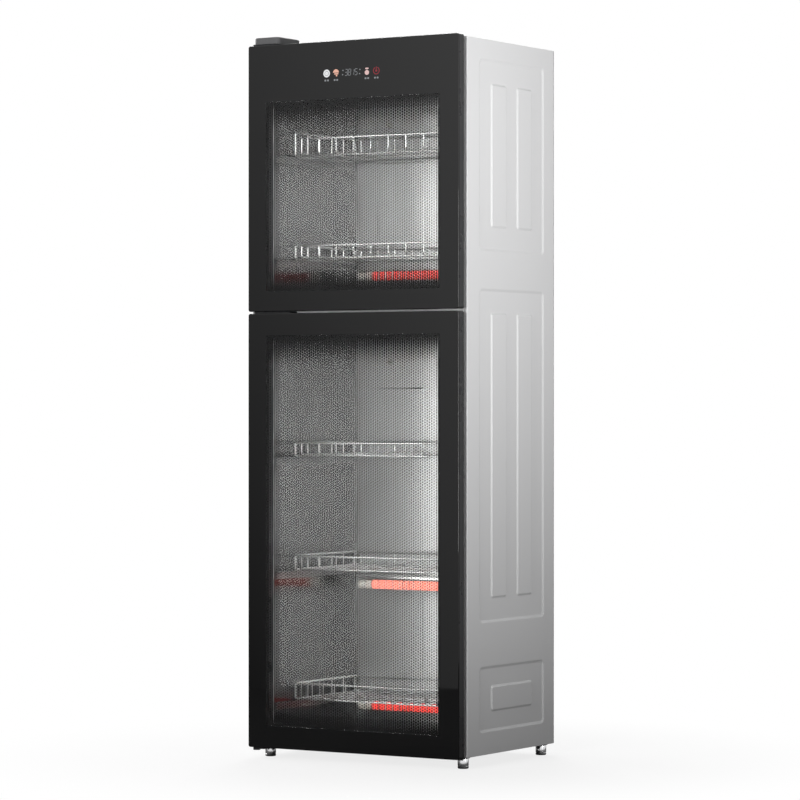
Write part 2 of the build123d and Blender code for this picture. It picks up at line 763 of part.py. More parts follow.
# %% Power board in its tray, over the upper chamber
tray_bottom = pad_lows[-1] + pad_thickness + seam
tray_top = tray_bottom + tray_height
board_bottom = tray_bottom + tray_wall + standoff_height
board_spots = [(x, y) for x in (-1, 1) for y in (-1, 1)]
board_half_x = tray_width / 2 - board_margin
board_half_y = tray_depth / 2 - board_margin
post_inset = 2 * standoff_radius
with BuildPart() as power_board_tray:
    span_box(-tray_width / 2, tray_width / 2, -tray_depth / 2, tray_depth / 2, tray_bottom, tray_top)
    span_box(-tray_width / 2 + tray_wall, tray_width / 2 - tray_wall, -tray_depth / 2 + tray_wall,
             tray_depth / 2 - tray_wall, tray_bottom + tray_wall, tray_top, mode=Mode.SUBTRACT)
    for x, y in board_spots:
        with Locations((x * (board_half_x - post_inset), y * (board_half_y - post_inset),
                        tray_bottom + tray_wall + (standoff_height - seam) / 2)):
            Cylinder(standoff_radius, standoff_height - seam)
finish(power_board_tray, "power_board_tray")

with BuildPart() as power_board:
    board_top = board_bottom + board_thickness
    span_box(-board_half_x, board_half_x, -board_half_y, board_half_y, board_bottom, board_top)
    for x, y, length, width, height in ((-62, 28, 44, 36, 22), (-8, 30, 22, 28, 16), (24, 30, 22, 28, 16),
                                        (60, 34, 26, 20, 18), (50, -30, 40, 26, 12)):
        with Locations((x, y, board_top)):
            Box(length, width, height, align=(Align.CENTER, Align.CENTER, Align.MIN))
    for x in (-70, -46, -22):
        with Locations((x, -34, board_top)):
            Cylinder(8, 20, align=(Align.CENTER, Align.CENTER, Align.MIN))
finish(power_board, "power_board")


# %% Doors
def door_boundary(bottom, top, inset=0.0, radius=door_corner_radius):
    """Outline of a door in the current sketch, drawn in by inset."""
    span_rounded(-half_width + inset, half_width - inset, bottom + inset, top - inset, radius)


def window_outline(window, growth=0.0, mode=Mode.SUBTRACT):
    """Window of a door in the current sketch, grown by growth."""
    reach = half_width - window_side_border + growth
    span_rectangle(-reach, reach, window[0] - growth, window[1] + growth, mode=mode)


frame_front = door_front + glass_thickness + glue_line
frame_back = door_front + door_thickness
liner_front = frame_back + seam
liner_back_y = liner_front + door_liner_thickness
gasket_back = front_plane - running_gap


def door_glass(label, bottom, top):
    """Outer pane of a door, the whole of its front."""
    with BuildPart() as glass:
        with BuildSketch(upright(door_front + glass_thickness)):
            door_boundary(bottom, top)
        extrude(amount=glass_thickness)
    finish(glass, label)


def door_frame(label, bottom, top, window, board_posts):
    """Tray behind the outer pane: two walls round the window, a back and pivot blocks."""
    with BuildPart() as frame:
        with BuildSketch(upright(frame_back)):
            door_boundary(bottom, top)
            window_outline(window)
        extrude(amount=frame_back - frame_front)
        with BuildSketch(upright(frame_back - door_wall)):
            door_boundary(bottom, top, inset=door_wall)
            window_outline(window, growth=door_wall)
        extrude(amount=frame_back - door_wall - frame_front, mode=Mode.SUBTRACT)
        for low in (bottom, top - bush_boss_height):
            span_box(-half_width + door_wall, -half_width + bush_boss_width, frame_front, frame_back,
                     low + door_wall / 2, low + bush_boss_height - door_wall / 2)
        for low in (bottom, top - bush_length):
            with Locations((hinge_x, hinge_y, low + bush_length / 2)):
                Cylinder(bush_radius + seam / 2, bush_length, mode=Mode.SUBTRACT)
        for x, z in board_posts:
            with BuildSketch(upright(frame_back - door_wall)):
                with Locations((x, z)):
                    Circle(standoff_radius)
            extrude(amount=frame_back - door_wall - control_board_back - seam)
    finish(frame, label)


def door_liner(label, bottom, top, window):
    """Inner cover of a door, with a rebate that holds the inner pane."""
    with BuildPart() as liner:
        with BuildSketch(upright(liner_back_y)):
            door_boundary(bottom, top, inset=door_liner_inset)
            window_outline(window)
        extrude(amount=door_liner_thickness)
        with BuildSketch(upright(liner_front + glass_thickness + seam)):
            window_outline(window, growth=inner_glass_lap + seam, mode=Mode.ADD)
        extrude(amount=glass_thickness + seam, mode=Mode.SUBTRACT)
    finish(liner, label)


def inner_glass(label, window):
    """Inner pane of a door, in the liner's rebate."""
    with BuildPart() as pane:
        with BuildSketch(upright(liner_front + glass_thickness)):
            window_outline(window, growth=inner_glass_lap, mode=Mode.ADD)
        extrude(amount=glass_thickness)
    finish(pane, label)


def door_gasket(label, floor, ceiling):
    """Seal round the chamber's mouth, carried by the door."""
    outer_x = half_width - gasket_inset
    outer_low = floor - gasket_frame_overlap - gasket_width
    outer_high = ceiling + gasket_frame_overlap + gasket_width
    with BuildPart() as gasket:
        with BuildSketch(upright(gasket_back)):
            span_rounded(-outer_x, outer_x, outer_low, outer_high, gasket_width)
            span_rounded(-outer_x + gasket_width, outer_x - gasket_width, outer_low + gasket_width,
                         outer_high - gasket_width, gasket_frame_overlap, mode=Mode.SUBTRACT)
        extrude(amount=gasket_back - liner_back_y - seam)
    finish(gasket, label)


def door_bushes(label, bottom, top):
    """The two plain bushes that the hinge pins turn in."""
    with BuildPart() as bushes:
        for low in (bottom, top - bush_length):
            with Locations((hinge_x, hinge_y, low + bush_length / 2)):
                Cylinder(bush_radius, bush_length - 2 * seam)
                Cylinder(pin_radius + pin_clearance, bush_length, mode=Mode.SUBTRACT)
    finish(bushes, label)


control_z = upper_door_top - control_rise
control_board_front = door_front + glass_thickness + display_depth + 3 * seam
control_board_back = control_board_front + board_thickness
post_x = control_board_width / 2 - post_inset
post_z = control_board_height / 2 - post_inset
control_posts = [(x * post_x, control_z + z * post_z) for x, z in board_spots]

lower_window = (lower_door_bottom + lower_window_bottom_border, lower_door_top - lower_window_top_border)
upper_window = (upper_door_bottom + upper_window_bottom_border, upper_door_top - upper_window_top_border)
door_list = [
    ("lower_door", lower_door_bottom, lower_door_top, lower_window, lower_floor, lower_ceiling, []),
    ("upper_door", upper_door_bottom, upper_door_top, upper_window, upper_floor, upper_ceiling,
     control_posts),
]
for name, bottom, top, window, floor, ceiling, posts in door_list:
    door_glass(f"{name}_glass", bottom, top)
    door_frame(f"{name}_frame", bottom, top, window, posts)
    door_liner(f"{name}_liner", bottom, top, window)
    inner_glass(f"{name}_inner_glass", window)
    door_gasket(f"{name}_gasket", floor, ceiling)
    door_bushes(f"{name}_bushes", bottom, top)

# %% Touch controls and display, behind the upper door's pane
with BuildPart() as control_board:
    with BuildSketch(upright(control_board_back)):
        with Locations((0, control_z)):
            Rectangle(control_board_width, control_board_height)
    extrude(amount=board_thickness)
    with BuildSketch(upright(control_board_front)):
        with Locations(*[(x, control_z) for x in touch_pad_x]):
            Circle(touch_pad_radius)
    extrude(amount=display_depth + seam)
finish(control_board, "control_board")

with BuildPart() as display_module:
    with BuildSketch(upright(control_board_front - seam)):
        with Locations((0, control_z)):
            RectangleRounded(display_width, display_height, 2 * seam)
    extrude(amount=display_depth)
finish(display_module, "display_module")


# %% Hinges: pins on fixed plates, top, middle and bottom
def add_pin(base, up):
    """Hinge pin that stands on a plate's face at height base."""
    with Locations((hinge_x, hinge_y, base + (pin_length / 2 if up else -pin_length / 2))):
        Cylinder(pin_radius, pin_length)


def cut_tab_holes(spots):
    """Screw holes through a hinge's upright tab, in the current part."""
    with Locations(*[(x, front_plane - seam - hinge_plate_thickness / 2, z) for x, z in spots]):
        Cylinder(hinge_screw_radius + seam, hinge_plate_thickness, rotation=(90, 0, 0), mode=Mode.SUBTRACT)


with BuildPart() as top_hinge_plate:
    with BuildSketch(Plane.XY.offset(top_plate_bottom)):
        span_rounded(plate_left, plate_right, plate_front, front_plane, hinge_plate_nose - seam)
        span_rounded(cover_left + hinge_cover_wall + seam, cover_right - hinge_cover_wall - seam,
                     hinge_y, cover_back - hinge_cover_wall - seam, hinge_cover_radius - hinge_cover_wall)
    extrude(amount=hinge_plate_thickness)
    span_box(plate_left + hinge_plate_nose, plate_right - hinge_plate_nose, front_plane + hinge_plate_nose,
             cover_back - hinge_plate_nose, body_top, top_plate_bottom)
    add_pin(top_plate_bottom, up=False)
    with BuildSketch(Plane.XY.offset(body_top)):
        with Locations(*top_screw_spots):
            Circle(hinge_screw_radius + seam)
    extrude(amount=top_plate_top - body_top, mode=Mode.SUBTRACT)
finish(top_hinge_plate, "top_hinge_plate")

cover_bottom = top_plate_top + seam
cover_top = body_top + hinge_cover_rise
cover_skirt_front = front_plane + seam
with BuildPart() as top_hinge_cover:
    with BuildSketch(Plane.XY.offset(cover_bottom)):
        span_rounded(cover_left, cover_right, cover_front, cover_back, hinge_cover_radius)
    extrude(amount=cover_top - cover_bottom)
    with BuildSketch(Plane.XY.offset(body_top)):
        span_rounded(cover_left, cover_right, cover_front, cover_back, hinge_cover_radius)
        span_rectangle(cover_left - seam, cover_right + seam, cover_front - seam, cover_skirt_front,
                       mode=Mode.SUBTRACT)
    extrude(amount=cover_bottom - body_top)
    top_rim = faces().sort_by(Axis.Z)[-1].edges()
    fillet(top_rim, radius=2 * hinge_cover_wall)
    with BuildSketch(Plane.XY.offset(body_top)):
        span_rounded(cover_left + hinge_cover_wall, cover_right - hinge_cover_wall,
                     cover_front + hinge_cover_wall, cover_back - hinge_cover_wall,
                     hinge_cover_radius - hinge_cover_wall)
    extrude(amount=cover_top - hinge_cover_wall - body_top, mode=Mode.SUBTRACT)
finish(top_hinge_cover, "top_hinge_cover")

with BuildPart() as middle_hinge_plate:
    with BuildSketch(Plane.XY.offset(middle_plate_bottom)):
        span_rounded(plate_left, plate_left + middle_plate_length, plate_front, front_plane - seam,
                     hinge_plate_nose - seam)
        span_rectangle(plate_left, plate_left + middle_plate_length, tab_front, front_plane - seam)
    extrude(amount=hinge_plate_thickness)
    span_box(plate_left, plate_left + middle_plate_length, tab_front, front_plane - seam,
             middle_centre - hinge_tab_height / 2, middle_centre + hinge_tab_height / 2)
    add_pin(middle_plate_bottom, up=False)
    add_pin(middle_plate_top, up=True)
    cut_tab_holes(middle_screw_spots)
finish(middle_hinge_plate, "middle_hinge_plate")

with BuildPart() as bottom_hinge_bracket:
    with BuildSketch(Plane.XY.offset(bottom_plate_top)):
        span_rounded(plate_left, plate_left + bottom_plate_length, plate_front, front_plane - seam,
                     hinge_plate_nose - seam)
        span_rectangle(plate_left, plate_left + bottom_plate_length, tab_front, front_plane - seam)
    extrude(amount=-hinge_plate_thickness)
    span_box(plate_left, plate_left + bottom_plate_length, tab_front, front_plane - seam,
             bottom_plate_top - hinge_plate_thickness, bottom_plate_top + bottom_tab_height)
    add_pin(bottom_plate_top, up=True)
    with Locations((hinge_x, hinge_y, bottom_plate_top - hinge_plate_thickness)):
        Cylinder(hinge_plate_nose, hinge_plate_thickness, align=(Align.CENTER, Align.CENTER, Align.MAX))
    cut_tab_holes(bottom_screw_spots)
finish(bottom_hinge_bracket, "bottom_hinge_bracket")

with BuildPart() as hinge_screws:
    for x, y in top_screw_spots:
        with Locations((x, y, top_plate_top + seam)):
            Cylinder(hinge_screw_head_radius, hinge_screw_head,
                     align=(Align.CENTER, Align.CENTER, Align.MIN))
            Cylinder(hinge_screw_radius, top_plate_top - body_top,
                     align=(Align.CENTER, Align.CENTER, Align.MAX))
    front_spots = middle_screw_spots + bottom_screw_spots
    with BuildSketch(upright(tab_front - seam)):
        with Locations(*front_spots):
            Circle(hinge_screw_head_radius)
    extrude(amount=hinge_screw_head)
    with BuildSketch(upright(tab_front - seam)):
        with Locations(*front_spots):
            Circle(hinge_screw_radius)
    extrude(amount=-hinge_plate_thickness - 3 * sheet)
finish(hinge_screws, "hinge_screws")

# %% Feet: plain levelling feet on threaded studs, in collars under the base
collar_bottom = body_bottom - foot_collar
foot_top = collar_bottom - running_gap
with BuildPart() as foot_collars:
    with BuildSketch(Plane.XY.offset(collar_bottom)):
        with Locations(*foot_spots):
            Circle(foot_collar_radius)
    extrude(amount=foot_collar - seam)
    with BuildSketch(Plane.XY.offset(collar_bottom)):
        with Locations(*foot_spots):
            Circle(foot_boss_radius)
    extrude(amount=foot_collar + foot_boss_height)
    with BuildSketch(Plane.XY.offset(collar_bottom)):
        with Locations(*foot_spots):
            Circle(foot_stud_radius + pin_clearance)
    extrude(amount=foot_collar + foot_boss_height, mode=Mode.SUBTRACT)
finish(foot_collars, "foot_collars")

foot_names = ("foot_front_left", "foot_front_right", "foot_back_left", "foot_back_right")
for name, spot in zip(foot_names, foot_spots):
    with BuildPart() as foot:
        with Locations((spot[0], spot[1], 0)):
            Cylinder(foot_radius, foot_top, align=(Align.CENTER, Align.CENTER, Align.MIN))
        rim_edges = edges().filter_by(GeomType.CIRCLE)
        chamfer(rim_edges, length=foot_chamfer)
        with Locations((spot[0], spot[1], foot_top)):
            Cylinder(foot_stud_radius, foot_stud_length, align=(Align.CENTER, Align.CENTER, Align.MIN))
    finish(foot, name)
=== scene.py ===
# %% [markdown]
# # A dish sterilizer cabinet
# The real thing is a tall steel cabinet with two dark glass doors. Behind the glass there are
# two mirror-steel chambers with wire racks and glowing tube heaters.
# The CAD model already has every piece in its true place, so this script loads it as a fixed
# frame, gives each piece its finish, and swaps the pieces whose real shape is softer than the CAD.

import math

import bmesh
import bpy
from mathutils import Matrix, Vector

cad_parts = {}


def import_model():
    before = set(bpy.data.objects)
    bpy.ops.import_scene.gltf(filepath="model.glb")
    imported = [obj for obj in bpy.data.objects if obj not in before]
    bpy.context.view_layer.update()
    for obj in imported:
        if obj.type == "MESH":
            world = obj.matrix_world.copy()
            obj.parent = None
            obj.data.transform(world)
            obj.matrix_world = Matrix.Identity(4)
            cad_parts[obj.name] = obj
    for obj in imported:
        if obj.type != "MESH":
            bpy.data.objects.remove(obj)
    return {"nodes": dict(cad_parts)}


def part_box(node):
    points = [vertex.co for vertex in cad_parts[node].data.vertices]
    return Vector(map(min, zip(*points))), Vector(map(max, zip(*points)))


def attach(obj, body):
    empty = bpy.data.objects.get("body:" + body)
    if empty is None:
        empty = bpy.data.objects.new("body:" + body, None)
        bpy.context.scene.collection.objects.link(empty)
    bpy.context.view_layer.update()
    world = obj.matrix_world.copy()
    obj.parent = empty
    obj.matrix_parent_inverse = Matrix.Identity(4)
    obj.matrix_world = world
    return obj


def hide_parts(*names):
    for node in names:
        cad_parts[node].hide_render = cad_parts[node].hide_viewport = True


cad_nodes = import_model()["nodes"]
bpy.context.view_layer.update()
MM = 0.001
for item in cad_nodes.values():
    item.data.materials.clear()
for imported in list(bpy.data.materials):
    bpy.data.materials.remove(imported)


def box_mm(node):
    """Lowest and highest corner of a CAD node, in millimetres."""
    return [[value / MM for value in corner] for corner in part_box(node)]


# %% [markdown]
# ## Camera
# The photograph is a catalogue view: almost flat perspective, level with the middle of the
# cabinet, 32 degrees round to its right. A long lens from far away gives that look.


# %% Camera
def add_object(name, data):
    """An object with this data, put in the scene."""
    made = bpy.data.objects.new(name, data)
    bpy.context.scene.collection.objects.link(made)
    return made


camera_data = bpy.data.cameras.new("catalogue_camera")
camera_data.lens = 154.955
camera_data.sensor_width = 36.0
camera_data.clip_end = 60.0
camera = add_object("catalogue_camera", camera_data)
camera.location = (4.1024, -6.5977, 0.8031)
camera.rotation_euler = (math.radians(90.0), 0.0, math.radians(31.9065))
bpy.context.scene.camera = camera
bpy.context.scene.view_settings.view_transform = "Standard"

# %% [markdown]
# ## Node trees
# Every material and every Geometry Nodes tree below is wired by script. These small helpers add
# a node, link or set its sockets, and hand back the socket that the next node needs.


# %% Helpers that wire nodes
def add_node(tree, kind, inputs=None, **settings):
    """A new node with its settings, and each input linked or set."""
    made = tree.nodes.new(kind)
    for name, value in settings.items():
        setattr(made, name, value)
    for name, value in (inputs or {}).items():
        if isinstance(value, bpy.types.NodeSocket):
            tree.links.new(value, made.inputs[name])
        else:
            made.inputs[name].default_value = value
    return made


def lead(value, node, name):
    """Link a value to a named input of a node."""
    node.id_data.links.new(value, node.inputs[name])


def tree_of(*values):
    """The node tree that these values belong to; any socket among them knows it."""
    return next(value for value in values if isinstance(value, bpy.types.NodeSocket)).id_data


signs = {"+": "ADD", "-": "SUBTRACT", "*": "MULTIPLY", "/": "DIVIDE", "<": "LESS_THAN", ">": "GREATER_THAN",
         "min": "MINIMUM", "max": "MAXIMUM", "mod": "FLOORED_MODULO"}


def calc(first, *steps, clamp=False):
    """Math nodes in a row: calc(a, "+", b, "*", c) goes from left to right, so it is (a + b) * c."""
    for sign, value in zip(steps[::2], steps[1::2]):
        first = add_node(tree_of(first, value), "ShaderNodeMath", {0: first, 1: value},
                         operation=signs[sign], use_clamp=clamp).outputs[0]
    return first


def apply(operation, value):
    """One Math node that needs a single value."""
    return add_node(tree_of(value), "ShaderNodeMath", {0: value}, operation=operation).outputs[0]


def blend_numbers(factor, first, second):
    """Mix of two numbers; returns the number."""
    return add_node(tree_of(factor), "ShaderNodeMix", {0: factor, 2: first, 3: second}).outputs[0]


def blend_colours(factor, first, second, mode="MIX"):
    """Mix of two colours, each a socket or (red, green, blue); returns the colour."""
    ends = [end if isinstance(end, bpy.types.NodeSocket) else (*end, 1.0) for end in (first, second)]
    return add_node(tree_of(factor, *ends), "ShaderNodeMix", {0: factor, 6: ends[0], 7: ends[1]},
                    data_type="RGBA", blend_type=mode).outputs[2]


def remap(value, from_low, from_high, to_low=0.0, to_high=1.0, kind="LINEAR"):
    """A value carried from one range to another, clamped."""
    return add_node(tree_of(value), "ShaderNodeMapRange", {
        "Value": value, "From Min": from_low, "From Max": from_high,
        "To Min": to_low, "To Max": to_high}, interpolation_type=kind).outputs[0]


def object_place(tree):
    """Where the shaded point lies on its object."""
    return add_node(tree, "ShaderNodeTexCoord").outputs["Object"]


def noise(place, scale, detail=2.0, roughness=0.5):
    """Cloudy noise between nought and one."""
    return add_node(tree_of(place), "ShaderNodeTexNoise", {
        "Vector": place, "Scale": scale, "Detail": detail, "Roughness": roughness}).outputs[0]


socket_kinds = {float: "NodeSocketFloat", int: "NodeSocketInt", tuple: "NodeSocketVector",
                type(None): "NodeSocketGeometry"}


def new_group(name, inputs, outputs, kind="ShaderNodeTree", result=0.0):
    """An empty node group from {name: default}; returns the tree, its inputs and its output node."""
    tree = bpy.data.node_groups.new(name, kind)
    for title, default in inputs.items():
        made = tree.interface.new_socket(name=title, in_out="INPUT", socket_type=socket_kinds[type(default)])
        if default is not None:
            made.default_value = default
    for title in outputs:
        tree.interface.new_socket(name=title, in_out="OUTPUT", socket_type=socket_kinds[type(result)])
    entry = tree.nodes.new("NodeGroupInput")
    leave = tree.nodes.new("NodeGroupOutput")
    return tree, entry.outputs, leave


def use_group(tree, group, inputs=None):
    """A shader group placed in a material; returns its outputs."""
    return add_node(tree, "ShaderNodeGroup", inputs, node_tree=group).outputs


# %% Helper that draws circles and arcs
def arc(centre_u, centre_v, radius, start=0.0, end=360.0, steps=28):
    """Points (u, v) on an arc whose angles are in degrees from the u axis."""
    whole = abs(end - start) >= 360.0
    angles = [math.radians(start + (end - start) * step / steps)
              for step in range(steps if whole else steps + 1)]
    return [(centre_u + radius * math.cos(angle), centre_v + radius * math.sin(angle)) for angle in angles]


# %% [markdown]
# ## Floor, daylight and lamps
# The photograph has a pure white background, and its light falls from high on the right: the
# white side is bright at the top and grey at the foot. So the lamp on the right is turned
# upwards, away from the foot. Only the camera sees the white background, straight or through
# glass. Polished pieces mirror a wall that is pale above and dark below, and the rest of the
# scene gets a faint daylight from it.


# %% Floor
def seen_directly(tree):
    """One where the camera looks straight or through clear glass, otherwise nought."""
    path = add_node(tree, "ShaderNodeLightPath").outputs
    bounced = calc(path["Glossy Depth"], "+", path["Diffuse Depth"])
    unbounced = calc(bounced, "<", 0.5)
    through_glass = calc(path["Is Transmission Ray"], "*", unbounced)
    return calc(path["Is Camera Ray"], "max", through_glass)


floor_radius, floor_steps = 2.2, 96
white_from, white_to = 0.35, 1.1
floor_mesh = bpy.data.meshes.new("floor")
floor_rim = [(x, y, 0.0) for x, y in arc(0.0, 0.0, floor_radius, steps=floor_steps)]
floor_mesh.from_pydata(floor_rim, [], [tuple(range(floor_steps))])
floor = add_object("floor", floor_mesh)
floor_material = bpy.data.materials.new("white_floor")
floor_material.use_nodes = True
tree = floor_material.node_tree
tree.nodes.clear()
looked_at = seen_directly(tree)
shade = blend_colours(looked_at, (0.06, 0.06, 0.06), (0.85, 0.85, 0.85))
surface = add_node(tree, "ShaderNodeBsdfPrincipled", {"Base Color": shade, "Roughness": 0.9})
glow = add_node(tree, "ShaderNodeEmission", {"Color": (1.0, 1.0, 1.0, 1.0), "Strength": 1.0})
distance = add_node(tree, "ShaderNodeVectorMath", {0: object_place(tree)},
                    operation="LENGTH").outputs["Value"]
whiteness = remap(distance, white_from, white_to, 0.80, 1.0, "SMOOTHSTEP")
mixed = add_node(tree, "ShaderNodeMixShader", {
    0: calc(looked_at, "*", whiteness), 1: surface.outputs[0], 2: glow.outputs[0]})
add_node(tree, "ShaderNodeOutputMaterial", {"Surface": mixed.outputs[0]})
floor_mesh.materials.append(floor_material)

# %% World
world = bpy.data.worlds.new("studio")
bpy.context.scene.world = world
world.use_nodes = True
tree = world.node_tree
tree.nodes.clear()
direction = add_node(tree, "ShaderNodeTexCoord").outputs["Generated"]
parts = add_node(tree, "ShaderNodeSeparateXYZ", {"Vector": direction}).outputs
daylight = remap(parts["Z"], 0.0, 0.7, 0.01, 0.15, "SMOOTHSTEP")
# What gloss sees: a pale wall that darkens towards the floor and towards the far left. Gloss
# deep inside the cabinet, seen through both panes, finds a wall that is brightest on the left.
across_wall = remap(parts["X"], -0.59, -0.51, -0.11, 0.07)
on_wall = calc(parts["Z"], "+", across_wall)
wall = remap(on_wall, -0.154, 0.18, 0.05, 0.95)
path = add_node(tree, "ShaderNodeLightPath").outputs
inside = calc(path["Ray Depth"], ">", 4.5)
wall_inside = remap(parts["X"], -0.46, -0.08, 5.2, 0.55)
wall = blend_numbers(inside, wall, wall_inside)
by_gloss = calc(path["Glossy Depth"], ">", 0.5, "*", calc(path["Diffuse Depth"], "<", 0.5))
strength = blend_numbers(by_gloss, daylight, wall)
strength = blend_numbers(seen_directly(tree), strength, 1.0)
background = add_node(tree, "ShaderNodeBackground", {"Color": (1.0, 1.0, 1.0, 1.0), "Strength": strength})
add_node(tree, "ShaderNodeOutputWorld", {"Surface": background.outputs[0]})


# %% Lamps
def add_lamp(name, place, target, size, watts, spread=180.0):
    """A soft box of (width, height) at place, turned to face target."""
    data = bpy.data.lights.new(name, "AREA")
    data.shape = "RECTANGLE"
    data.size, data.size_y = size
    data.energy = watts
    data.spread = math.radians(spread)
    lamp = add_object(name, data)
    lamp.location = place
    aim = [goal - start for goal, start in zip(target, place)]
    flat = math.hypot(aim[0], aim[1])
    lamp.rotation_euler = (math.atan2(flat, -aim[2]), 0.0, math.atan2(-aim[0], aim[1]))
    print(f"lamp {name}: {watts} W, {size[0]} by {size[1]} m")
    return lamp


add_lamp("right_box", (2.62, -0.60, 0.90), (0.4, -0.29, 1.8), (0.35, 1.1), 16.0, spread=93.0)
add_lamp("back_box", (-1.6, 2.6, 2.4), (0.0, 0.2, 0.8), (1.6, 1.6), 75.0)
add_lamp("left_box", (-2.6, 0.4, 1.7), (-0.275, 0.0, 0.8), (1.0, 1.4), 15.0, spread=140.0)
# From the front, this lamp would stand in the dark glass as a grey square, so gloss doesn't see it.
front_box = add_lamp("front_box", (0.2, -2.9, 1.3), (0.0, -0.2, 1.0), (1.3, 1.3), 31.0, spread=120.0)
front_box.visible_glossy = False

# %% [markdown]
# ## Shared surface effects
# Real finishes are never one flat colour. These shader groups are built once and placed in many
# materials: worn edges, faint smudges, brushed grain, sprayed paint, and the printed dot screen.

# %% Group: worn edges
wear_group, entry, leave = new_group("worn edges", {"Radius": 0.0012, "Patchiness": 220.0}, ["Mask"])
tree = wear_group
rounded = add_node(tree, "ShaderNodeBevel", {"Radius": entry["Radius"]}, samples=4)
true_normal = add_node(tree, "ShaderNodeNewGeometry").outputs["Normal"]
agreement = add_node(tree, "ShaderNodeVectorMath", {0: rounded.outputs[0], 1: true_normal},
                     operation="DOT_PRODUCT").outputs["Value"]
edge = remap(agreement, 0.985, 0.80)
patches = noise(object_place(tree), entry["Patchiness"], 3.0)
lead(calc(edge, "*", remap(patches, 0.42, 0.62)), leave, "Mask")

# %% Group: smudges and dust
smudge_group, entry, leave = new_group("smudges and dust", {"Size": 6.0}, ["Smudge", "Dust"])
tree = smudge_group
clouds = noise(object_place(tree), entry["Size"], 4.0, 0.6)
specks = noise(object_place(tree), 900.0)
facing_up = add_node(tree, "ShaderNodeSeparateXYZ", {
    "Vector": add_node(tree, "ShaderNodeNewGeometry").outputs["Normal"]}).outputs["Z"]
settled = calc(remap(facing_up, 0.3, 1.0), "*", remap(specks, 0.45, 0.75))
lead(remap(clouds, 0.35, 0.75), leave, "Smudge")
lead(settled, leave, "Dust")

# %% Group: brushed grain
grain_group, entry, leave = new_group("brushed grain", {"Stretch": (20.0, 600.0, 600.0)}, ["Grain"])
tree = grain_group
drawn_out = add_node(tree, "ShaderNodeVectorMath", {0: object_place(tree), 1: entry["Stretch"]},
                     operation="MULTIPLY").outputs[0]
lead(noise(drawn_out, 1.0, 3.0), leave, "Grain")

# %% Group: sprayed paint
spray_group, entry, leave = new_group("sprayed paint", {"Grain": 650.0}, ["Height"])
tree = spray_group
fine = noise(object_place(tree), entry["Grain"])
broad = noise(object_place(tree), calc(entry["Grain"], "*", 0.2), 1.0)
lead(calc(fine, "+", calc(broad, "*", 1.5)), leave, "Height")

# %% [markdown]
# The dark borders of the doors are enamel printed on the inside of the glass. Over the window
# the enamel breaks up into a screen of dots: solid at the border, then shrinking towards the
# middle. The group works that out from the place on the door: the distance to the nearest dot
# centre of a staggered grid, against a dot radius that grows towards the window's edges.

# %% Group: printed dot screen
screen_group, entry, leave = new_group("printed dot screen", {
    "Left": -0.22, "Right": 0.22, "Bottom": 0.07, "Top": 0.95, "Column Pitch": 0.0058, "Row Pitch": 0.00606,
    "Side Fade": 0.010, "End Fade": 0.065, "Small Dot": 0.25}, ["Cover"])
tree = screen_group
place = add_node(tree, "ShaderNodeSeparateXYZ", {"Vector": object_place(tree)}).outputs
column = calc(place["X"], "/", entry["Column Pitch"])
column_number = apply("FLOOR", column)
across = calc(column, "-", column_number, "-", 0.5)
stagger = calc(column_number, "mod", 2.0, "*", 0.5)
row = calc(place["Z"], "/", entry["Row Pitch"], "+", stagger)
along = calc(apply("FRACT", row), "-", 0.5)


def radius_from(across_part, along_part):
    """Distance to a dot centre, in column pitches."""
    squares = calc(across_part, "*", across_part, "+", calc(along_part, "*", along_part))
    return apply("SQRT", squares)


own_column = radius_from(across, along)
near_side = calc(1.0, "-", apply("ABSOLUTE", across))
half_row = calc(0.5, "-", apply("ABSOLUTE", along))
next_column = radius_from(near_side, half_row)
to_dot = calc(own_column, "min", next_column)


def openness_along(axis, low, high, fade):
    """From nought at both edges of the window to one where the fade ends."""
    from_low = calc(place[axis], "-", entry[low])
    from_high = calc(entry[high], "-", place[axis])
    return calc(calc(from_low, "min", from_high), "/", entry[fade], clamp=True)


widest_dot, dot_softness = 0.61, 0.03
openness = calc(openness_along("X", "Left", "Right", "Side Fade"), "min",
                openness_along("Z", "Bottom", "Top", "End Fade"))
dot_radius = remap(openness, 0.0, 1.0, widest_dot, entry["Small Dot"])
cover = remap(calc(dot_radius, "-", to_dot), -dot_softness, dot_softness)
lead(cover, leave, "Cover")
print("shader groups:", [group.name for group in bpy.data.node_groups])

# %% [markdown]
# ## Finishes
# One material for each finish that the cabinet has, kept by name. The Principled shader stays in
# the material, and the groups only steer its colour, roughness and bump.

# %% Helpers that start a finish
finishes = {}


def new_finish(name, colour, metallic=0.0, roughness=0.5, **sockets):
    """A material with a Principled shader set to these values; returns its tree and the shader."""
    material = bpy.data.materials.new(name)
    material.use_nodes = True
    tree = material.node_tree
    tree.nodes.clear()
    inputs = {"Base Color": (*colour, 1.0), "Metallic": metallic, "Roughness": roughness}
    inputs.update({title.replace("_", " "): value for title, value in sockets.items()})
    shader = add_node(tree, "ShaderNodeBsdfPrincipled", inputs)
    add_node(tree, "ShaderNodeOutputMaterial", {"Surface": shader.outputs[0]})
    finishes[name] = material
    return tree, shader


def set_bump(shader, height, distance, strength=1.0):
    """Bump on a shader, from a height that varies over the surface."""
    bump = add_node(shader.id_data, "ShaderNodeBump", {
        "Height": height, "Distance": distance, "Strength": strength})
    lead(bump.outputs[0], shader, "Normal")


def vary_colour(shader, mask, first, second):
    """Base colour that goes from first to second as a mask rises."""
    lead(blend_colours(mask, first, second), shader, "Base Color")


def vary_roughness(shader, mask, low, high):
    """Roughness that follows a mask."""
    lead(remap(mask, 0.0, 1.0, low, high), shader, "Roughness")


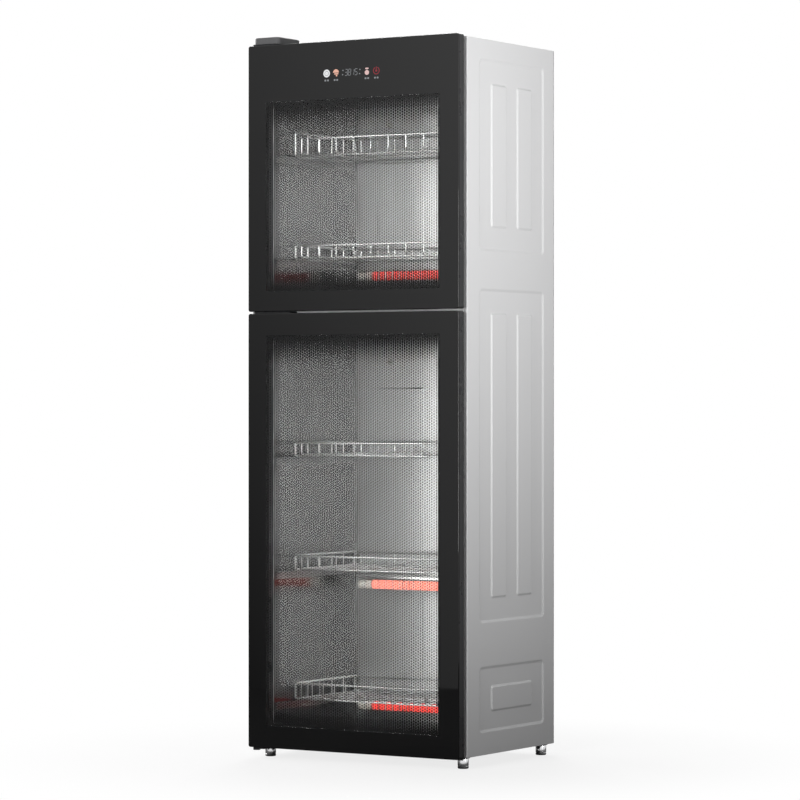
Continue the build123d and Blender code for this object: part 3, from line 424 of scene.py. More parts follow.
# %% Painted and plain sheet metal
def painted_metal(name, colour, roughness, bare=0.25):
    """Satin powder coat on steel: fine orange peel, faint smudges, bare metal at worn edges."""
    tree, shader = new_finish(name, colour, roughness=roughness)
    marks = use_group(tree, smudge_group, {"Size": 5.0})["Smudge"]
    worn = use_group(tree, wear_group, {"Radius": 0.0008})["Mask"]
    darker = [value * share for value, share in zip(colour, (0.82, 0.81, 0.79))]
    smudged = blend_colours(calc(marks, "*", 0.035), colour, darker)
    vary_colour(shader, calc(worn, "*", bare), smudged, (0.62, 0.62, 0.63))
    vary_roughness(shader, marks, roughness, roughness + 0.10)
    set_bump(shader, use_group(tree, spray_group)["Height"], 0.00002, 0.35)


def sheet_steel(name, colour, roughness, stretch, bump=0.15):
    """Bright sheet steel with a rolled or brushed grain."""
    tree, shader = new_finish(name, colour, metallic=1.0, roughness=roughness)
    grain = use_group(tree, grain_group, {"Stretch": stretch})["Grain"]
    marks = use_group(tree, smudge_group, {"Size": 9.0})["Smudge"]
    vary_colour(shader, grain, [value * 0.90 for value in colour], colour)
    rough = calc(remap(grain, 0.3, 0.7, roughness - 0.04, roughness + 0.04), "+", calc(marks, "*", 0.05))
    lead(rough, shader, "Roughness")
    set_bump(shader, grain, 0.00003, bump)


painted_metal("cabinet_paint", (0.78, 0.78, 0.785), 0.38)
painted_metal("hinge_black", (0.012, 0.012, 0.013), 0.55, bare=0.02)
painted_metal("dark_clamp", (0.10, 0.10, 0.10), 0.40)
# Mirror steel of the chamber walls: its base colour is set far darker than real steel, as painted shade that
# keeps the walls dim inside the chambers.
sheet_steel("mirror_steel", (0.29, 0.29, 0.295), 0.10, (60.0, 60.0, 400.0), 0.01)
sheet_steel("satin_steel", (0.82, 0.82, 0.825), 0.34, (40.0, 400.0, 400.0), 0.02)
sheet_steel("ledge_steel", (0.34, 0.34, 0.345), 0.30, (500.0, 12.0, 500.0))
sheet_steel("heater_steel", (0.78, 0.77, 0.76), 0.24, (12.0, 600.0, 600.0))
sheet_steel("screw_steel", (0.70, 0.70, 0.69), 0.28, (700.0, 700.0, 700.0))
sheet_steel("sensor_metal", (0.66, 0.65, 0.63), 0.30, (400.0, 60.0, 400.0))
sheet_steel("rack_wire", (0.66, 0.66, 0.66), 0.30, (300.0, 300.0, 300.0), 0.02)

# %% Galvanised back: crystals of slightly different grey, each with its own sheen
tree, shader = new_finish("back_sheet", (0.66, 0.67, 0.68), metallic=0.85, roughness=0.42)
crystals = add_node(tree, "ShaderNodeTexVoronoi", {"Vector": object_place(tree), "Scale": 120.0})
tint = add_node(tree, "ShaderNodeSeparateColor", {"Color": crystals.outputs["Color"]}).outputs[0]
vary_colour(shader, tint, (0.62, 0.63, 0.64), (0.70, 0.71, 0.72))
vary_roughness(shader, tint, 0.40, 0.50)
set_bump(shader, tint, 0.00001, 0.1)


# %% Plastics, rubber and ceramic
def moulded(name, colour, roughness, grain=900.0, bump=0.3, wear=0.15, gloss=0.5):
    """Moulded plastic: a spark-eroded grain, faint smudges and paler rubbed edges."""
    tree, shader = new_finish(name, colour, roughness=roughness, Specular_IOR_Level=gloss)
    marks = use_group(tree, smudge_group, {"Size": 12.0})
    worn = use_group(tree, wear_group, {"Radius": 0.0006, "Patchiness": 300.0})["Mask"]
    rubbed = [min(1.0, value * 1.6 + 0.03) for value in colour]
    base = blend_colours(calc(worn, "*", wear), colour, rubbed)
    vary_colour(shader, calc(marks["Dust"], "*", 0.10), base, (0.5, 0.49, 0.47))
    vary_roughness(shader, marks["Smudge"], roughness - 0.04, roughness + 0.08)
    set_bump(shader, use_group(tree, spray_group, {"Grain": grain})["Height"], 0.00003, bump)


moulded("door_plastic", (0.022, 0.022, 0.023), 0.30, bump=0.06, wear=0.04, gloss=0.25)
moulded("liner_plastic", (0.050, 0.050, 0.054), 0.48)
moulded("gasket_rubber", (0.030, 0.030, 0.031), 0.62, grain=500.0)
moulded("bush_plastic", (0.52, 0.52, 0.50), 0.45)
moulded("hinge_cover", (0.13, 0.13, 0.133), 0.46, bump=0.1, wear=0.05, gloss=0.3)
moulded("vent_plastic", (0.045, 0.045, 0.047), 0.50)
moulded("tray_plastic", (0.62, 0.60, 0.56), 0.50)
moulded("collar_plastic", (0.055, 0.055, 0.057), 0.50)
moulded("ceramic", (0.80, 0.78, 0.73), 0.38, grain=1400.0, bump=0.15)
moulded("display", (0.020, 0.020, 0.022), 0.25, bump=0.05)

# %% Insulation: a mineral-wool pad, matt, fibrous and uneven
tree, shader = new_finish("insulation", (0.62, 0.60, 0.55), roughness=0.95)
fibres = use_group(tree, grain_group, {"Stretch": (500.0, 500.0, 60.0)})["Grain"]
clouds = use_group(tree, smudge_group, {"Size": 20.0})["Smudge"]
vary_colour(shader, clouds, (0.66, 0.64, 0.60), (0.50, 0.48, 0.43))
set_bump(shader, fibres, 0.0006, 0.7)

# %% Circuit board: green solder mask with faint paler copper runs under it
tree, shader = new_finish("board", (0.02, 0.13, 0.06), roughness=0.35, Coat_Weight=0.4)
blocks = add_node(tree, "ShaderNodeTexVoronoi", {"Vector": object_place(tree), "Scale": 160.0},
                  distance="CHEBYCHEV").outputs["Distance"]
runs = remap(blocks, 0.30, 0.36)
vary_colour(shader, runs, (0.015, 0.10, 0.045), (0.03, 0.19, 0.08))
set_bump(shader, runs, 0.00004, 0.5)

# %% Chrome of the feet: mirror-bright, with fine scuffs and dull worn edges
tree, shader = new_finish("foot_chrome", (0.83, 0.83, 0.84), metallic=1.0, roughness=0.12)
marks = use_group(tree, smudge_group, {"Size": 60.0})["Smudge"]
worn = use_group(tree, wear_group, {"Radius": 0.0008, "Patchiness": 500.0})["Mask"]
vary_colour(shader, worn, (0.83, 0.83, 0.84), (0.55, 0.54, 0.52))
rough = calc(remap(marks, 0.0, 1.0, 0.08, 0.18), "+", calc(worn, "*", 0.2))
lead(rough, shader, "Roughness")
set_bump(shader, use_group(tree, spray_group, {"Grain": 300.0})["Height"], 0.00001, 0.2)

# %% [markdown]
# Glass needs one trick. Cycles doesn't send lamp light through a refracting pane, so the inside
# of the cabinet would be black. For shadow rays the pane is swapped for a clear one, and the
# lamps then reach the racks.


# %% Glass
def clear_glass(name, tint, index):
    """A pane that lets lamp light through, with the faintest smears on its surface."""
    tree, shader = new_finish(name, tint, roughness=0.0, Transmission_Weight=1.0, IOR=index)
    smears = use_group(tree, smudge_group, {"Size": 14.0})["Smudge"]
    vary_colour(shader, calc(smears, "*", 0.3), tint, [value * 0.97 for value in tint])
    see_through = add_node(tree, "ShaderNodeBsdfTransparent", {"Color": (*tint, 1.0)})
    shadow = add_node(tree, "ShaderNodeLightPath").outputs["Is Shadow Ray"]
    mixed = add_node(tree, "ShaderNodeMixShader", {
        0: shadow, 1: shader.outputs[0], 2: see_through.outputs[0]})
    output = next(item for item in tree.nodes if item.bl_idname == "ShaderNodeOutputMaterial")
    lead(mixed.outputs[0], output, "Surface")


# The enamel is fired onto the back of the outer pane, so that face doesn't shine. The model keeps
# the two a hair apart, and a lower index takes away the gloss which that gap would add. The inner
# pane has an anti-glare coat, and a lower index again.
clear_glass("door_glass", (0.97, 0.975, 0.97), 1.25)
clear_glass("inner_glass", (0.98, 0.985, 0.98), 1.2)


def black_enamel(name, **sockets):
    """The black print of the doors, a shade uneven; returns its tree, shader and smudges."""
    tree, shader = new_finish(name, (0.0042, 0.0042, 0.0044), **sockets)
    marks = use_group(tree, smudge_group, {"Size": 8.0})["Smudge"]
    vary_colour(shader, marks, (0.0044, 0.0044, 0.0046), (0.0038, 0.0038, 0.0040))
    return tree, shader, marks


# The border of a door: the front of the pane shines, and the black print lies behind it.
tree, shader, marks = black_enamel("black_backed_glass", roughness=0.03)
vary_roughness(shader, marks, 0.02, 0.05)


def printed_enamel(name, window):
    """Black enamel on the back of a pane, broken into dots over the window."""
    tree, shader, marks = black_enamel(name, roughness=0.5, Specular_IOR_Level=0.0)
    sides = zip(("Left", "Right", "Bottom", "Top"), window)
    cover = use_group(tree, screen_group, {side: place * MM for side, place in sides})["Cover"]
    lead(cover, shader, "Alpha")


# %% Lights of the heaters and the controls
def glowing(name, colour, strength, speckle=0.15):
    """A surface that shines by itself, a little unevenly, and more faintly in a reflection."""
    tree, shader = new_finish(name, [value * 0.1 for value in colour], roughness=0.4)
    dimmer = [value * (1.0 - speckle) for value in colour]
    lit = blend_colours(noise(object_place(tree), 300.0), dimmer, colour)
    mirrored = calc(add_node(tree, "ShaderNodeLightPath").outputs["Glossy Depth"], "min", 1.0)
    faint = blend_colours(1.0, lit, (0.2, 0.14, 0.14), mode="MULTIPLY")
    lead(blend_colours(mirrored, lit, faint), shader, "Emission Color")
    shader.inputs["Emission Strength"].default_value = strength


glowing("heater_tube", (1.0, 0.25, 0.185), 1.9)
glowing("heater_tube_red", (1.0, 0.09, 0.075), 1.25)
glowing("filament", (1.0, 0.60, 0.50), 6.0)
glowing("key_white", (0.80, 0.81, 0.82), 0.95)
glowing("key_orange", (0.90, 0.50, 0.38), 0.85)
glowing("key_pink", (0.90, 0.62, 0.60), 0.75)
glowing("key_red", (0.42, 0.04, 0.06), 0.6)
glowing("digit_grey", (0.50, 0.52, 0.55), 0.42)
print("finishes:", len(finishes))

# %% [markdown]
# ## Finishes on the CAD nodes
# Every CAD node gets a finish. Its mesh stays as it is, and only its material is set.

# %% Give every CAD node its finish
heaters = ("upper", "middle", "lower")
doors = ("upper", "lower")
rack_names = [f"rack_{number}" for number in range(1, 6)]
foot_names = ["foot_front_left", "foot_front_right", "foot_back_left", "foot_back_right"]
finished_nodes = {
    "cabinet_paint": ["left_side_panel", "right_side_panel", "top_panel", "front_frame"],
    "back_sheet": ["base_panel", "back_panel"],
    "vent_plastic": ["back_vent_cover", "cord_gland"],
    "screw_steel": ["back_screws", "hinge_screws"],
    "mirror_steel": ["upper_liner_shell", "lower_liner_shell"],
    "satin_steel": ["upper_liner_back", "lower_liner_back"],
    "insulation": ["insulation_pads"],
    "ledge_steel": ["rack_rails_left", "rack_rails_right"],
    "rack_wire": ["heater_guards", *rack_names],
    "heater_steel": ["middle_heater_hood", *[f"{heater}_heater_trough" for heater in heaters]],
    "heater_tube": [f"{heater}_heater_tube" for heater in heaters],
    "ceramic": ["heater_caps"],
    "dark_clamp": ["heater_clamps"],
    "sensor_metal": ["temperature_probes", "thermal_cutouts"],
    "tray_plastic": ["power_board_tray"],
    "board": ["power_board", "control_board"],
    "display": ["display_module"],
    "hinge_black": ["top_hinge_plate", "middle_hinge_plate", "bottom_hinge_bracket"],
    "hinge_cover": ["top_hinge_cover"],
    "collar_plastic": ["door_sensors", "foot_collars"],
    "foot_chrome": foot_names,
}
door_pieces = {"door_glass": "glass", "door_plastic": "frame", "liner_plastic": "liner",
               "inner_glass": "inner_glass", "gasket_rubber": "gasket", "bush_plastic": "bushes"}
for finish, piece in door_pieces.items():
    finished_nodes[finish] = [f"{door}_door_{piece}" for door in doors]
for finish, names in finished_nodes.items():
    for name in names:
        cad_nodes[name].data.materials.append(finishes[finish])
dressed = [name for name, item in cad_nodes.items() if len(item.data.materials) == 1]
print(len(dressed), "of", len(cad_nodes), "nodes have a finish")

# %% [markdown]
# ## Meshes from rings
# Most of the softer pieces are a ring of points carried through a few steps: a pane whose edge is
# ground round, a pressed rib, a turned foot. These helpers draw the rings and skin them. Each
# rounding ends in a narrow flat step, so that shading stays clean on the large faces beside it.


# %% Helpers that make meshes
def rounded_ring(u_span, v_span, radius, steps=6):
    """Points round a rounded rectangle, anticlockwise, as (u, v)."""
    radius = max(radius, 0.01)
    left, right = u_span[0] + radius, u_span[1] - radius
    bottom, top = v_span[0] + radius, v_span[1] - radius
    corners = ((right, top, 0.0), (left, top, 90.0), (left, bottom, 180.0), (right, bottom, 270.0))
    return [point for u, v, start in corners for point in arc(u, v, radius, start, start + 90.0, steps)]


def grown(span, growth):
    """A span made larger at both ends."""
    return span[0] - growth, span[1] + growth


def skin(mesh, rings, close_start=False, close_end=False, join_ends=False):
    """Strips of faces between rings of the same length; rings hold (x, y, z) in millimetres."""
    made = [[mesh.verts.new([value * MM for value in point]) for point in ring] for ring in rings]
    pairs = list(zip(made, made[1:]))
    if join_ends:
        pairs.append((made[-1], made[0]))
    for first, second in pairs:
        count = len(first)
        for index in range(count):
            after = (index + 1) % count
            mesh.faces.new((first[index], first[after], second[after], second[index]))
    if close_start:
        mesh.faces.new(made[0])
    if close_end:
        mesh.faces.new(made[-1])
    return made


def finish_piece(name, mesh, finish, body, replaced=(), smooth_angle=40.0):
    """Turn a bmesh into a named piece that rides on a body and stands for CAD nodes."""
    bmesh.ops.remove_doubles(mesh, verts=mesh.verts, dist=1e-7)
    bmesh.ops.recalc_face_normals(mesh, faces=mesh.faces)
    data = bpy.data.meshes.new(name)
    mesh.to_mesh(data)
    mesh.free()
    data.materials.append(finishes[finish])
    finish_data(name, data, body, replaced, smooth_angle)


def finish_data(name, data, body, replaced=(), smooth_angle=40.0):
    """The same, from mesh data that has its material."""
    data.shade_smooth()
    data.set_sharp_from_angle(angle=math.radians(smooth_angle))
    piece = add_object(name, data)
    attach(piece, body)
    if replaced:
        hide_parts(*replaced)
    print(f"{name}: {len(data.polygons)} faces, rides on {body}")


# %% [markdown]
# ## Side panels
# Each side is one steel sheet, pressed so that it doesn't drum: three sunk fields, and raised
# ribs standing in them. The press leaves sloped walls with soft shoulders. The flat parts are
# filled between the outlines, and each wall is a ladder of rings that follows an S-curve.

# %% Sizes of the pressing
panel_low, panel_high = box_mm("right_side_panel")
panel_face = panel_high[0]
press_depth = 2.6
sheet_gauge = 0.8
recess_ys = (-119.9, 161.6)
rib_ys = ((-68.6, -2.1), (44.9, 111.4))
pressings = [
    ((1131.0, 1549.0), [(ys, (1182.5, 1497.5)) for ys in rib_ys]),
    ((317.0, 1045.0), [(ys, (368.0, 994.0)) for ys in rib_ys]),
    ((77.0, 217.0), [((rib_ys[0][0], rib_ys[1][1]), (119.0, 175.0))]),
]
recess_radius, rib_radius = 9.0, 6.0
wall_out, wall_in = 3.0, 4.5
wall_steps = 6
flat_step = 0.5
fold_radius, fold_steps, flange_width = 2.0, 5, 12.0


def press_wall(across, heights, radius, outer, inner, depths):
    """Rings along one sloped wall, from outside the outline to inside it, as (depth, across, z)."""
    shares = [step / wall_steps for step in range(wall_steps + 1)]
    profile = [(outer + flat_step, 0.0)]
    profile += [(outer + (inner - outer) * share, share ** 2 * (3.0 - 2.0 * share)) for share in shares]
    profile.append((inner - flat_step, 1.0))
    rings = []
    for growth, share in profile:
        depth = depths[0] + (depths[1] - depths[0]) * share
        ring = rounded_ring(grown(across, growth), grown(heights, growth), radius + growth, steps=8)
        rings.append([(depth, u, z) for u, z in ring])
    return rings


def fill_flat(mesh, outer, holes):
    """Faces over the flat part between an outer ring of vertices and the holes in it."""
    edges = []
    for ring in [outer, *holes]:
        for index, vertex in enumerate(ring):
            after = ring[(index + 1) % len(ring)]
            edges.append(mesh.edges.get((vertex, after)) or mesh.edges.new((vertex, after)))
    bmesh.ops.triangle_fill(mesh, use_beauty=True, use_dissolve=False, edges=edges)


def plain_mesh(source, name):
    """The evaluated mesh of an object as plain mesh data; the source object is removed."""
    graph = bpy.context.evaluated_depsgraph_get()
    data = bpy.data.meshes.new_from_object(source.evaluated_get(graph))
    data.name = name
    old = source.data
    source.modifiers.clear()
    bpy.data.objects.remove(source)
    if old.users == 0:
        bpy.data.meshes.remove(old)
    return data


def thicken(mesh, name, finish):
    """Give a pressed face the thickness of its sheet, and put it in the place of its CAD node."""
    data = bpy.data.meshes.new(name)
    mesh.to_mesh(data)
    mesh.free()
    shell = add_object(name + "_shell", data)
    solid = shell.modifiers.new("gauge", "SOLIDIFY")
    solid.thickness = sheet_gauge * MM
    solid.offset = -1.0
    data = plain_mesh(shell, name)
    data.materials.append(finishes[finish])
    finish_data(f"{name}_pressed", data, "cabinet", (name,), smooth_angle=50.0)


def pressed_panel(name, side):
    """One side of the cabinet; side is 1 for the right and -1 for the left."""
    mesh = bmesh.new()

    def wall_of(across, heights, radius, outer, depths):
        """The skin of one sloped wall on this side."""
        rings = press_wall(across, heights, radius, outer, -wall_in, depths)
        return skin(mesh, [[(side * (panel_face - depth), y, z) for depth, y, z in ring] for ring in rings])

    holes = []
    for zs, ribs in pressings:
        wall = wall_of(recess_ys, zs, recess_radius, wall_out, (0.0, press_depth))
        holes.append(wall[0])
        rib_rings = []
        for rib_y, rib_z in ribs:
            rib = wall_of(rib_y, rib_z, rib_radius, wall_out / 2.0, (press_depth, 0.0))
            rib_rings.append(rib[0])
            mesh.faces.new(rib[-1])
        fill_flat(mesh, wall[-1], rib_rings)
    # The front and back folds: a flange that turns inwards, then a small radius, as (y, depth).
    front, back = panel_low[1], panel_high[1]
    profile = [(front, flange_width), (front, fold_radius)]
    fold = arc(fold_radius, fold_radius, fold_radius, 180.0, 270.0, fold_steps)
    profile += [(front + u, v) for u, v in fold[1:]]
    profile.append((front + fold_radius + flat_step, 0.0))
    mirrored = [(front + back - y, depth) for y, depth in reversed(profile)]
    made = [[mesh.verts.new((side * (panel_face - depth) * MM, y * MM, z * MM))
             for z in (panel_low[2], panel_high[2])] for y, depth in profile + mirrored]
    flat_from = len(profile) - 1
    for index, (first, second) in enumerate(zip(made, made[1:])):
        if index != flat_from:
            mesh.faces.new((first[0], second[0], second[1], first[1]))
    border = [made[flat_from][0], made[flat_from + 1][0], made[flat_from + 1][1], made[flat_from][1]]
    fill_flat(mesh, border, holes)
    for face in mesh.faces:
        face.normal_update()
        outward = side * face.normal.x
        if abs(outward) < 0.05:
            outward = face.normal.y * (1.0 if face.calc_center_median().y > 0.0 else -1.0)
        if outward < 0.0:
            face.normal_flip()
    thicken(mesh, name, "cabinet_paint")


pressed_panel("right_side_panel", 1)
pressed_panel("left_side_panel", -1)

# %% [markdown]
# ## Back walls of the chambers
# Each chamber ends in a satin steel sheet with two raised fields, one each side of the middle.
# They are pressed like the ribs of the side panels, so the same walls of rings make them.

# %% Back walls
field_inner, field_outer = 47.0, 171.0
field_bottom_gap, field_top_gap = 24.0, 128.0
field_radius = 6.0
field_wall_out, field_wall_in = 0.3, 1.7
probe_hole_radius = 2.6


def pressed_back(chamber, probe_x, probe_z):
    """The pressed back wall of one chamber, with a hole where its probe comes through."""
    name = f"{chamber}_liner_back"
    low, high = box_mm(name)
    face = high[1] - sheet_gauge
    heights = (low[2] + sheet_gauge + field_bottom_gap, high[2] - sheet_gauge - field_top_gap)
    mesh = bmesh.new()
    holes = []
    for side in (-1, 1):
        across = sorted((side * field_inner, side * field_outer))
        rings = press_wall(across, heights, field_radius, field_wall_out, -field_wall_in,
                           (0.0, face - low[1]))
        wall = skin(mesh, [[(x, face - depth, z) for depth, x, z in ring] for ring in rings])
        holes.append(wall[0])
        mesh.faces.new(wall[-1])
    corners = ((low[0], low[2]), (high[0], low[2]), (high[0], high[2]), (low[0], high[2]))
    flat_rings = [[mesh.verts.new((x * MM, face * MM, z * MM)) for x, z in ring]
                  for ring in (corners, arc(probe_x, probe_z, probe_hole_radius, steps=24))]
    fill_flat(mesh, flat_rings[0], [*holes, flat_rings[1]])
    for item in mesh.faces:
        item.normal_update()
        if item.normal.y > 0.0:
            item.normal_flip()
    thicken(mesh, name, "satin_steel")


probes_low, probes_high = box_mm("temperature_probes")
flange_radius = (probes_high[0] - probes_low[0]) / 2.0
probe_middle = probes_low[0] + flange_radius
pressed_back("upper", probe_middle, probes_high[2] - flange_radius)
pressed_back("lower", probe_middle, probes_low[2] + flange_radius)

# %% [markdown]
# ## Doors
# The outer pane of each door is the whole front of it. Its edge is ground round. The print makes
# its border black and leaves the window clear, so the pane is drawn as two closed meshes: a
# black-backed border with a ground edge, and the clear glass of the window. The dots lie just
# behind that.

# %% Panes and prints
pane_front_clearance = 0.05
pane_radius, ground_edge = 5.0, 1.2
print_gap = 0.32
print_front, print_back, print_edge = 0.10, 0.04, 0.02
print_margin, print_radius = 2.0, 3.6
window_spans = {"upper": (1046.0, 1469.0), "lower": (74.0, 947.0)}
window_half, window_radius = 227.0, 2.0
window_seam = 0.03
dots_inset = 1.0


def slab_rings(xs, zs, radius, front, back, edge, steps=4):
    """Rings round the edge of a pane, from its front, over the rounded edge, to its back."""
    flat = -edge - 0.6
    angles = [math.radians(90.0 * step / steps) for step in range(steps + 1)]
    profile = [(flat, front)]
    profile += [(-edge + edge * math.sin(angle), front + edge - edge * math.cos(angle)) for angle in angles]
    profile += [(-edge + edge * math.cos(angle), back - edge + edge * math.sin(angle)) for angle in angles]
    profile.append((flat, back))
    return [[(x, y, z) for x, z in rounded_ring(grown(xs, growth), grown(zs, growth), radius + growth, 8)]
            for growth, y in profile]


for door, zs in window_spans.items():
    low, high = box_mm(f"{door}_door_glass")
    body = f"{door}_door_body"
    faces = (low[1] + pane_front_clearance, high[1] - print_gap)
    xs = (-window_half, window_half)
    window_rings = []
    for seam in (0.0, window_seam):
        outline = rounded_ring(grown(xs, -seam), grown(zs, -seam), window_radius, steps=8)
        window_rings.append([[(x, y, z) for x, z in outline] for y in faces])
    opening, clear_part = window_rings
    mesh = bmesh.new()
    edge_rings = slab_rings((low[0], high[0]), (low[2], high[2]), pane_radius, *faces, ground_edge)
    skin(mesh, [opening[0], *edge_rings, opening[1]], join_ends=True)
    finish_piece(f"{door}_door_border", mesh, "black_backed_glass", body)
    mesh = bmesh.new()
    skin(mesh, clear_part, close_start=True, close_end=True)
    finish_piece(f"{door}_door_pane", mesh, "door_glass", body, replaced=(f"{door}_door_glass",))
    printed_enamel(f"{door}_door_enamel", (*grown(xs, -dots_inset), *zs))
    mesh = bmesh.new()
    print_rings = slab_rings(grown(xs, print_margin), grown(zs, print_margin), print_radius,
                             high[1] - print_front, high[1] - print_back, print_edge, 1)
    skin(mesh, print_rings, close_start=True, close_end=True)
    finish_piece(f"{door}_door_print", mesh, f"{door}_door_enamel", body)

# %% Gaskets with a bellows section
gasket_profile = [(0.0, 0.0), (14.0, 0.0), (14.0, 1.2), (11.4, 1.9), (10.2, 3.0), (11.6, 4.3), (11.2, 5.7),
                  (9.0, 6.3), (5.0, 6.3), (2.8, 5.7), (2.4, 4.3), (3.8, 3.0), (2.6, 1.9), (0.0, 1.2)]
gasket_radius, radius_lost = 14.0, 0.7
for door in doors:
    low, high = box_mm(f"{door}_door_gasket")
    rings = []
    for inwards, outwards in gasket_profile:
        ring = rounded_ring(grown((low[0], high[0]), -inwards), grown((low[2], high[2]), -inwards),
                            gasket_radius - radius_lost * inwards, steps=8)
        rings.append([(x, low[1] + outwards, z) for x, z in ring])
    mesh = bmesh.new()
    skin(mesh, rings, join_ends=True)
    finish_piece(f"{door}_door_seal", mesh, "gasket_rubber", f"{door}_door_body",
                 replaced=(f"{door}_door_gasket",), smooth_angle=55.0)

# %% [markdown]
# ## Controls
# At the top of the upper pane there are four touch keys and a clock. They are drawn as the
# thinnest of glowing shapes on the face of the pane. The keys carry plain signs: a dish, a warm
# dish, a drop and the power sign.

# %% Keys and clock
control_y = box_mm("upper_door_glass")[0][1] + 0.01
control_z = sum(corner[2] for corner in box_mm("control_board")) / 2.0
sign_thickness = 0.06


def flat_sign(mesh, outline, *holes):
    """A thin plate from an outline of (x, z) points, with holes."""
    walls = [skin(mesh, [[(x, y, z) for x, z in ring] for y in (control_y, control_y + sign_thickness)])
             for ring in (outline, *holes)]
    for face in (0, 1):
        fill_flat(mesh, walls[0][face], [wall[face] for wall in walls[1:]])


def oblong(x_low, x_high, z_low, z_high, radius=0.3):
    """A small rounded bar."""
    return rounded_ring((x_low, x_high), (z_low, z_high), radius, steps=3)


def dish_key(mesh, x, z):
    """A plate seen from above: a disc with a thin ring cut in it."""
    flat_sign(mesh, arc(x, z, 8.7), arc(x, z, 5.2))
    flat_sign(mesh, arc(x, z, 4.5))


def warm_key(mesh, x, z):
    """A domed dish over a short bar and a dot."""
    flat_sign(mesh, arc(x, z + 0.6, 7.6, 0.0, 180.0, 16))
    flat_sign(mesh, oblong(x - 4.6, x + 6.4, z - 3.4, z - 0.6, 1.2))
    flat_sign(mesh, arc(x + 1.6, z - 5.8, 2.0))


def drop_key(mesh, x, z):
    """A drop of water under a short bar."""
    flat_sign(mesh, arc(x, z - 2.6, 5.6, 150.0, 390.0, 20) + [(x, z + 3.4)])
    flat_sign(mesh, oblong(x - 4.4, x + 4.4, z + 4.4, z + 7.6, 1.4))


def power_key(mesh, x, z):
    """The power sign: a broken ring and a bar."""
    flat_sign(mesh, arc(x, z, 8.4, 115.0, 425.0, 30) + list(reversed(arc(x, z, 6.6, 115.0, 425.0, 30))))
    flat_sign(mesh, oblong(x - 0.9, x + 0.9, z + 1.0, z + 9.0, 0.8))
    flat_sign(mesh, arc(x, z, 2.6))


key_list = [("dish_key", -65.0, dish_key, "key_white"), ("warm_key", -40.5, warm_key, "key_orange"),
            ("drop_key", 40.5, drop_key, "key_pink"), ("power_key", 65.0, power_key, "key_red")]
underlines = bmesh.new()
for name, x, draw, light in key_list:
    mesh = bmesh.new()
    draw(mesh, x, control_z)
    finish_piece(name, mesh, light, "upper_door_body")
    for middle in (x - 3.4, x + 3.4):
        flat_sign(underlines, oblong(middle - 2.3, middle + 2.3, control_z - 17.4, control_z - 13.6, 1.0))
finish_piece("key_underlines", underlines, "digit_grey", "upper_door_body")

# %% Clock digits
digit_height, digit_width = 13.4, 6.2
bar = 1.15
bar_gap = 0.35
lean = 0.10
segments_on = {"1": "bc", "3": "abgcd", "5": "afgcd", "8": "abcdefg"}
segment_ends = {"a": ((0, 1), (1, 1)), "g": ((0, 0), (1, 0)), "d": ((0, -1), (1, -1)),
                "f": ((0, 1), (0, 0)), "b": ((1, 1), (1, 0)),
                "e": ((0, 0), (0, -1)), "c": ((1, 0), (1, -1))}


def segment(x, z, kind):
    """Outline of one bar of a seven-bar digit."""
    (u0, v0), (u1, v1) = [((u - 0.5) * digit_width, v * digit_height / 2.0) for u, v in segment_ends[kind]]
    length = math.hypot(u1 - u0, v1 - v0)
    along = ((u1 - u0) / length, (v1 - v0) / length)
    half_bar = bar / 2.0
    start, end = bar_gap, length - bar_gap
    shape = ((start, 0), (start + half_bar, half_bar), (end - half_bar, half_bar),
             (end, 0), (end - half_bar, -half_bar), (start + half_bar, -half_bar))
    points = []
    for s, t in shape:
        u = u0 + along[0] * s - along[1] * t
        v = v0 + along[1] * s + along[0] * t
        points.append((x + u + lean * v, z + v))
    return points


mesh = bmesh.new()
for digit, x in (("3", -13.3), ("8", -4.7), ("1", 3.7), ("5", 12.3)):
    for kind in segments_on[digit]:
        flat_sign(mesh, segment(x, control_z, kind))
for x in (-22.5, 22.0):
    for z in (-4.6, 4.6):
        flat_sign(mesh, arc(x + lean * z, control_z + z, 1.5, steps=12))
finish_piece("clock_digits", mesh, "digit_grey", "upper_door_body")

# %% [markdown]
# ## Racks
# A rack is bent from round wire: the floor wires turn up at the front and the back and are
# welded to a rim that runs all the way round. The shape follows a rule, so a Geometry Nodes tree
# makes it from named sizes: a path with rounded corners, swept with a circle, and repeated.

# %% Geometry Nodes helpers
def geometry_group(name, inputs):
    """An empty Geometry Nodes tree with named sizes and a geometry result."""
    return new_group(name, {"Geometry": None, **inputs}, ["Geometry"], "GeometryNodeTree", None)


def vector_of(x=0.0, y=0.0, z=0.0):
    """A vector from three sizes, at least one of them a socket."""
    return add_node(tree_of(x, y, z), "ShaderNodeCombineXYZ", {"X": x, "Y": y, "Z": z}).outputs[0]


def wire_path(points, bend, closed=False):
    """A curve through points given as vectors, its corners rounded by bend."""
    tree = tree_of(*points)
    line = add_node(tree, "GeometryNodeMeshLine", {"Count": len(points)}).outputs[0]
    switch = add_node(tree, "GeometryNodeIndexSwitch", data_type="VECTOR")
    while len(switch.index_switch_items) < len(points):
        switch.index_switch_items.new()
    tree.links.new(add_node(tree, "GeometryNodeInputIndex").outputs[0], switch.inputs[0])
    for number, point in enumerate(points):
        tree.links.new(point, switch.inputs[number + 1])
    placed = add_node(tree, "GeometryNodeSetPosition", {"Geometry": line, "Position": switch.outputs[0]})
    curve = add_node(tree, "GeometryNodeMeshToCurve", {"Mesh": placed.outputs[0]}).outputs[0]
    if closed:
        curve = add_node(tree, "GeometryNodeSetSplineCyclic", {"Geometry": curve, "Cyclic": True}).outputs[0]
    return add_node(tree, "GeometryNodeFilletCurve", {
        "Curve": curve, "Radius": bend, "Limit Radius": True, "Count": 5}, mode="POLY").outputs[0]


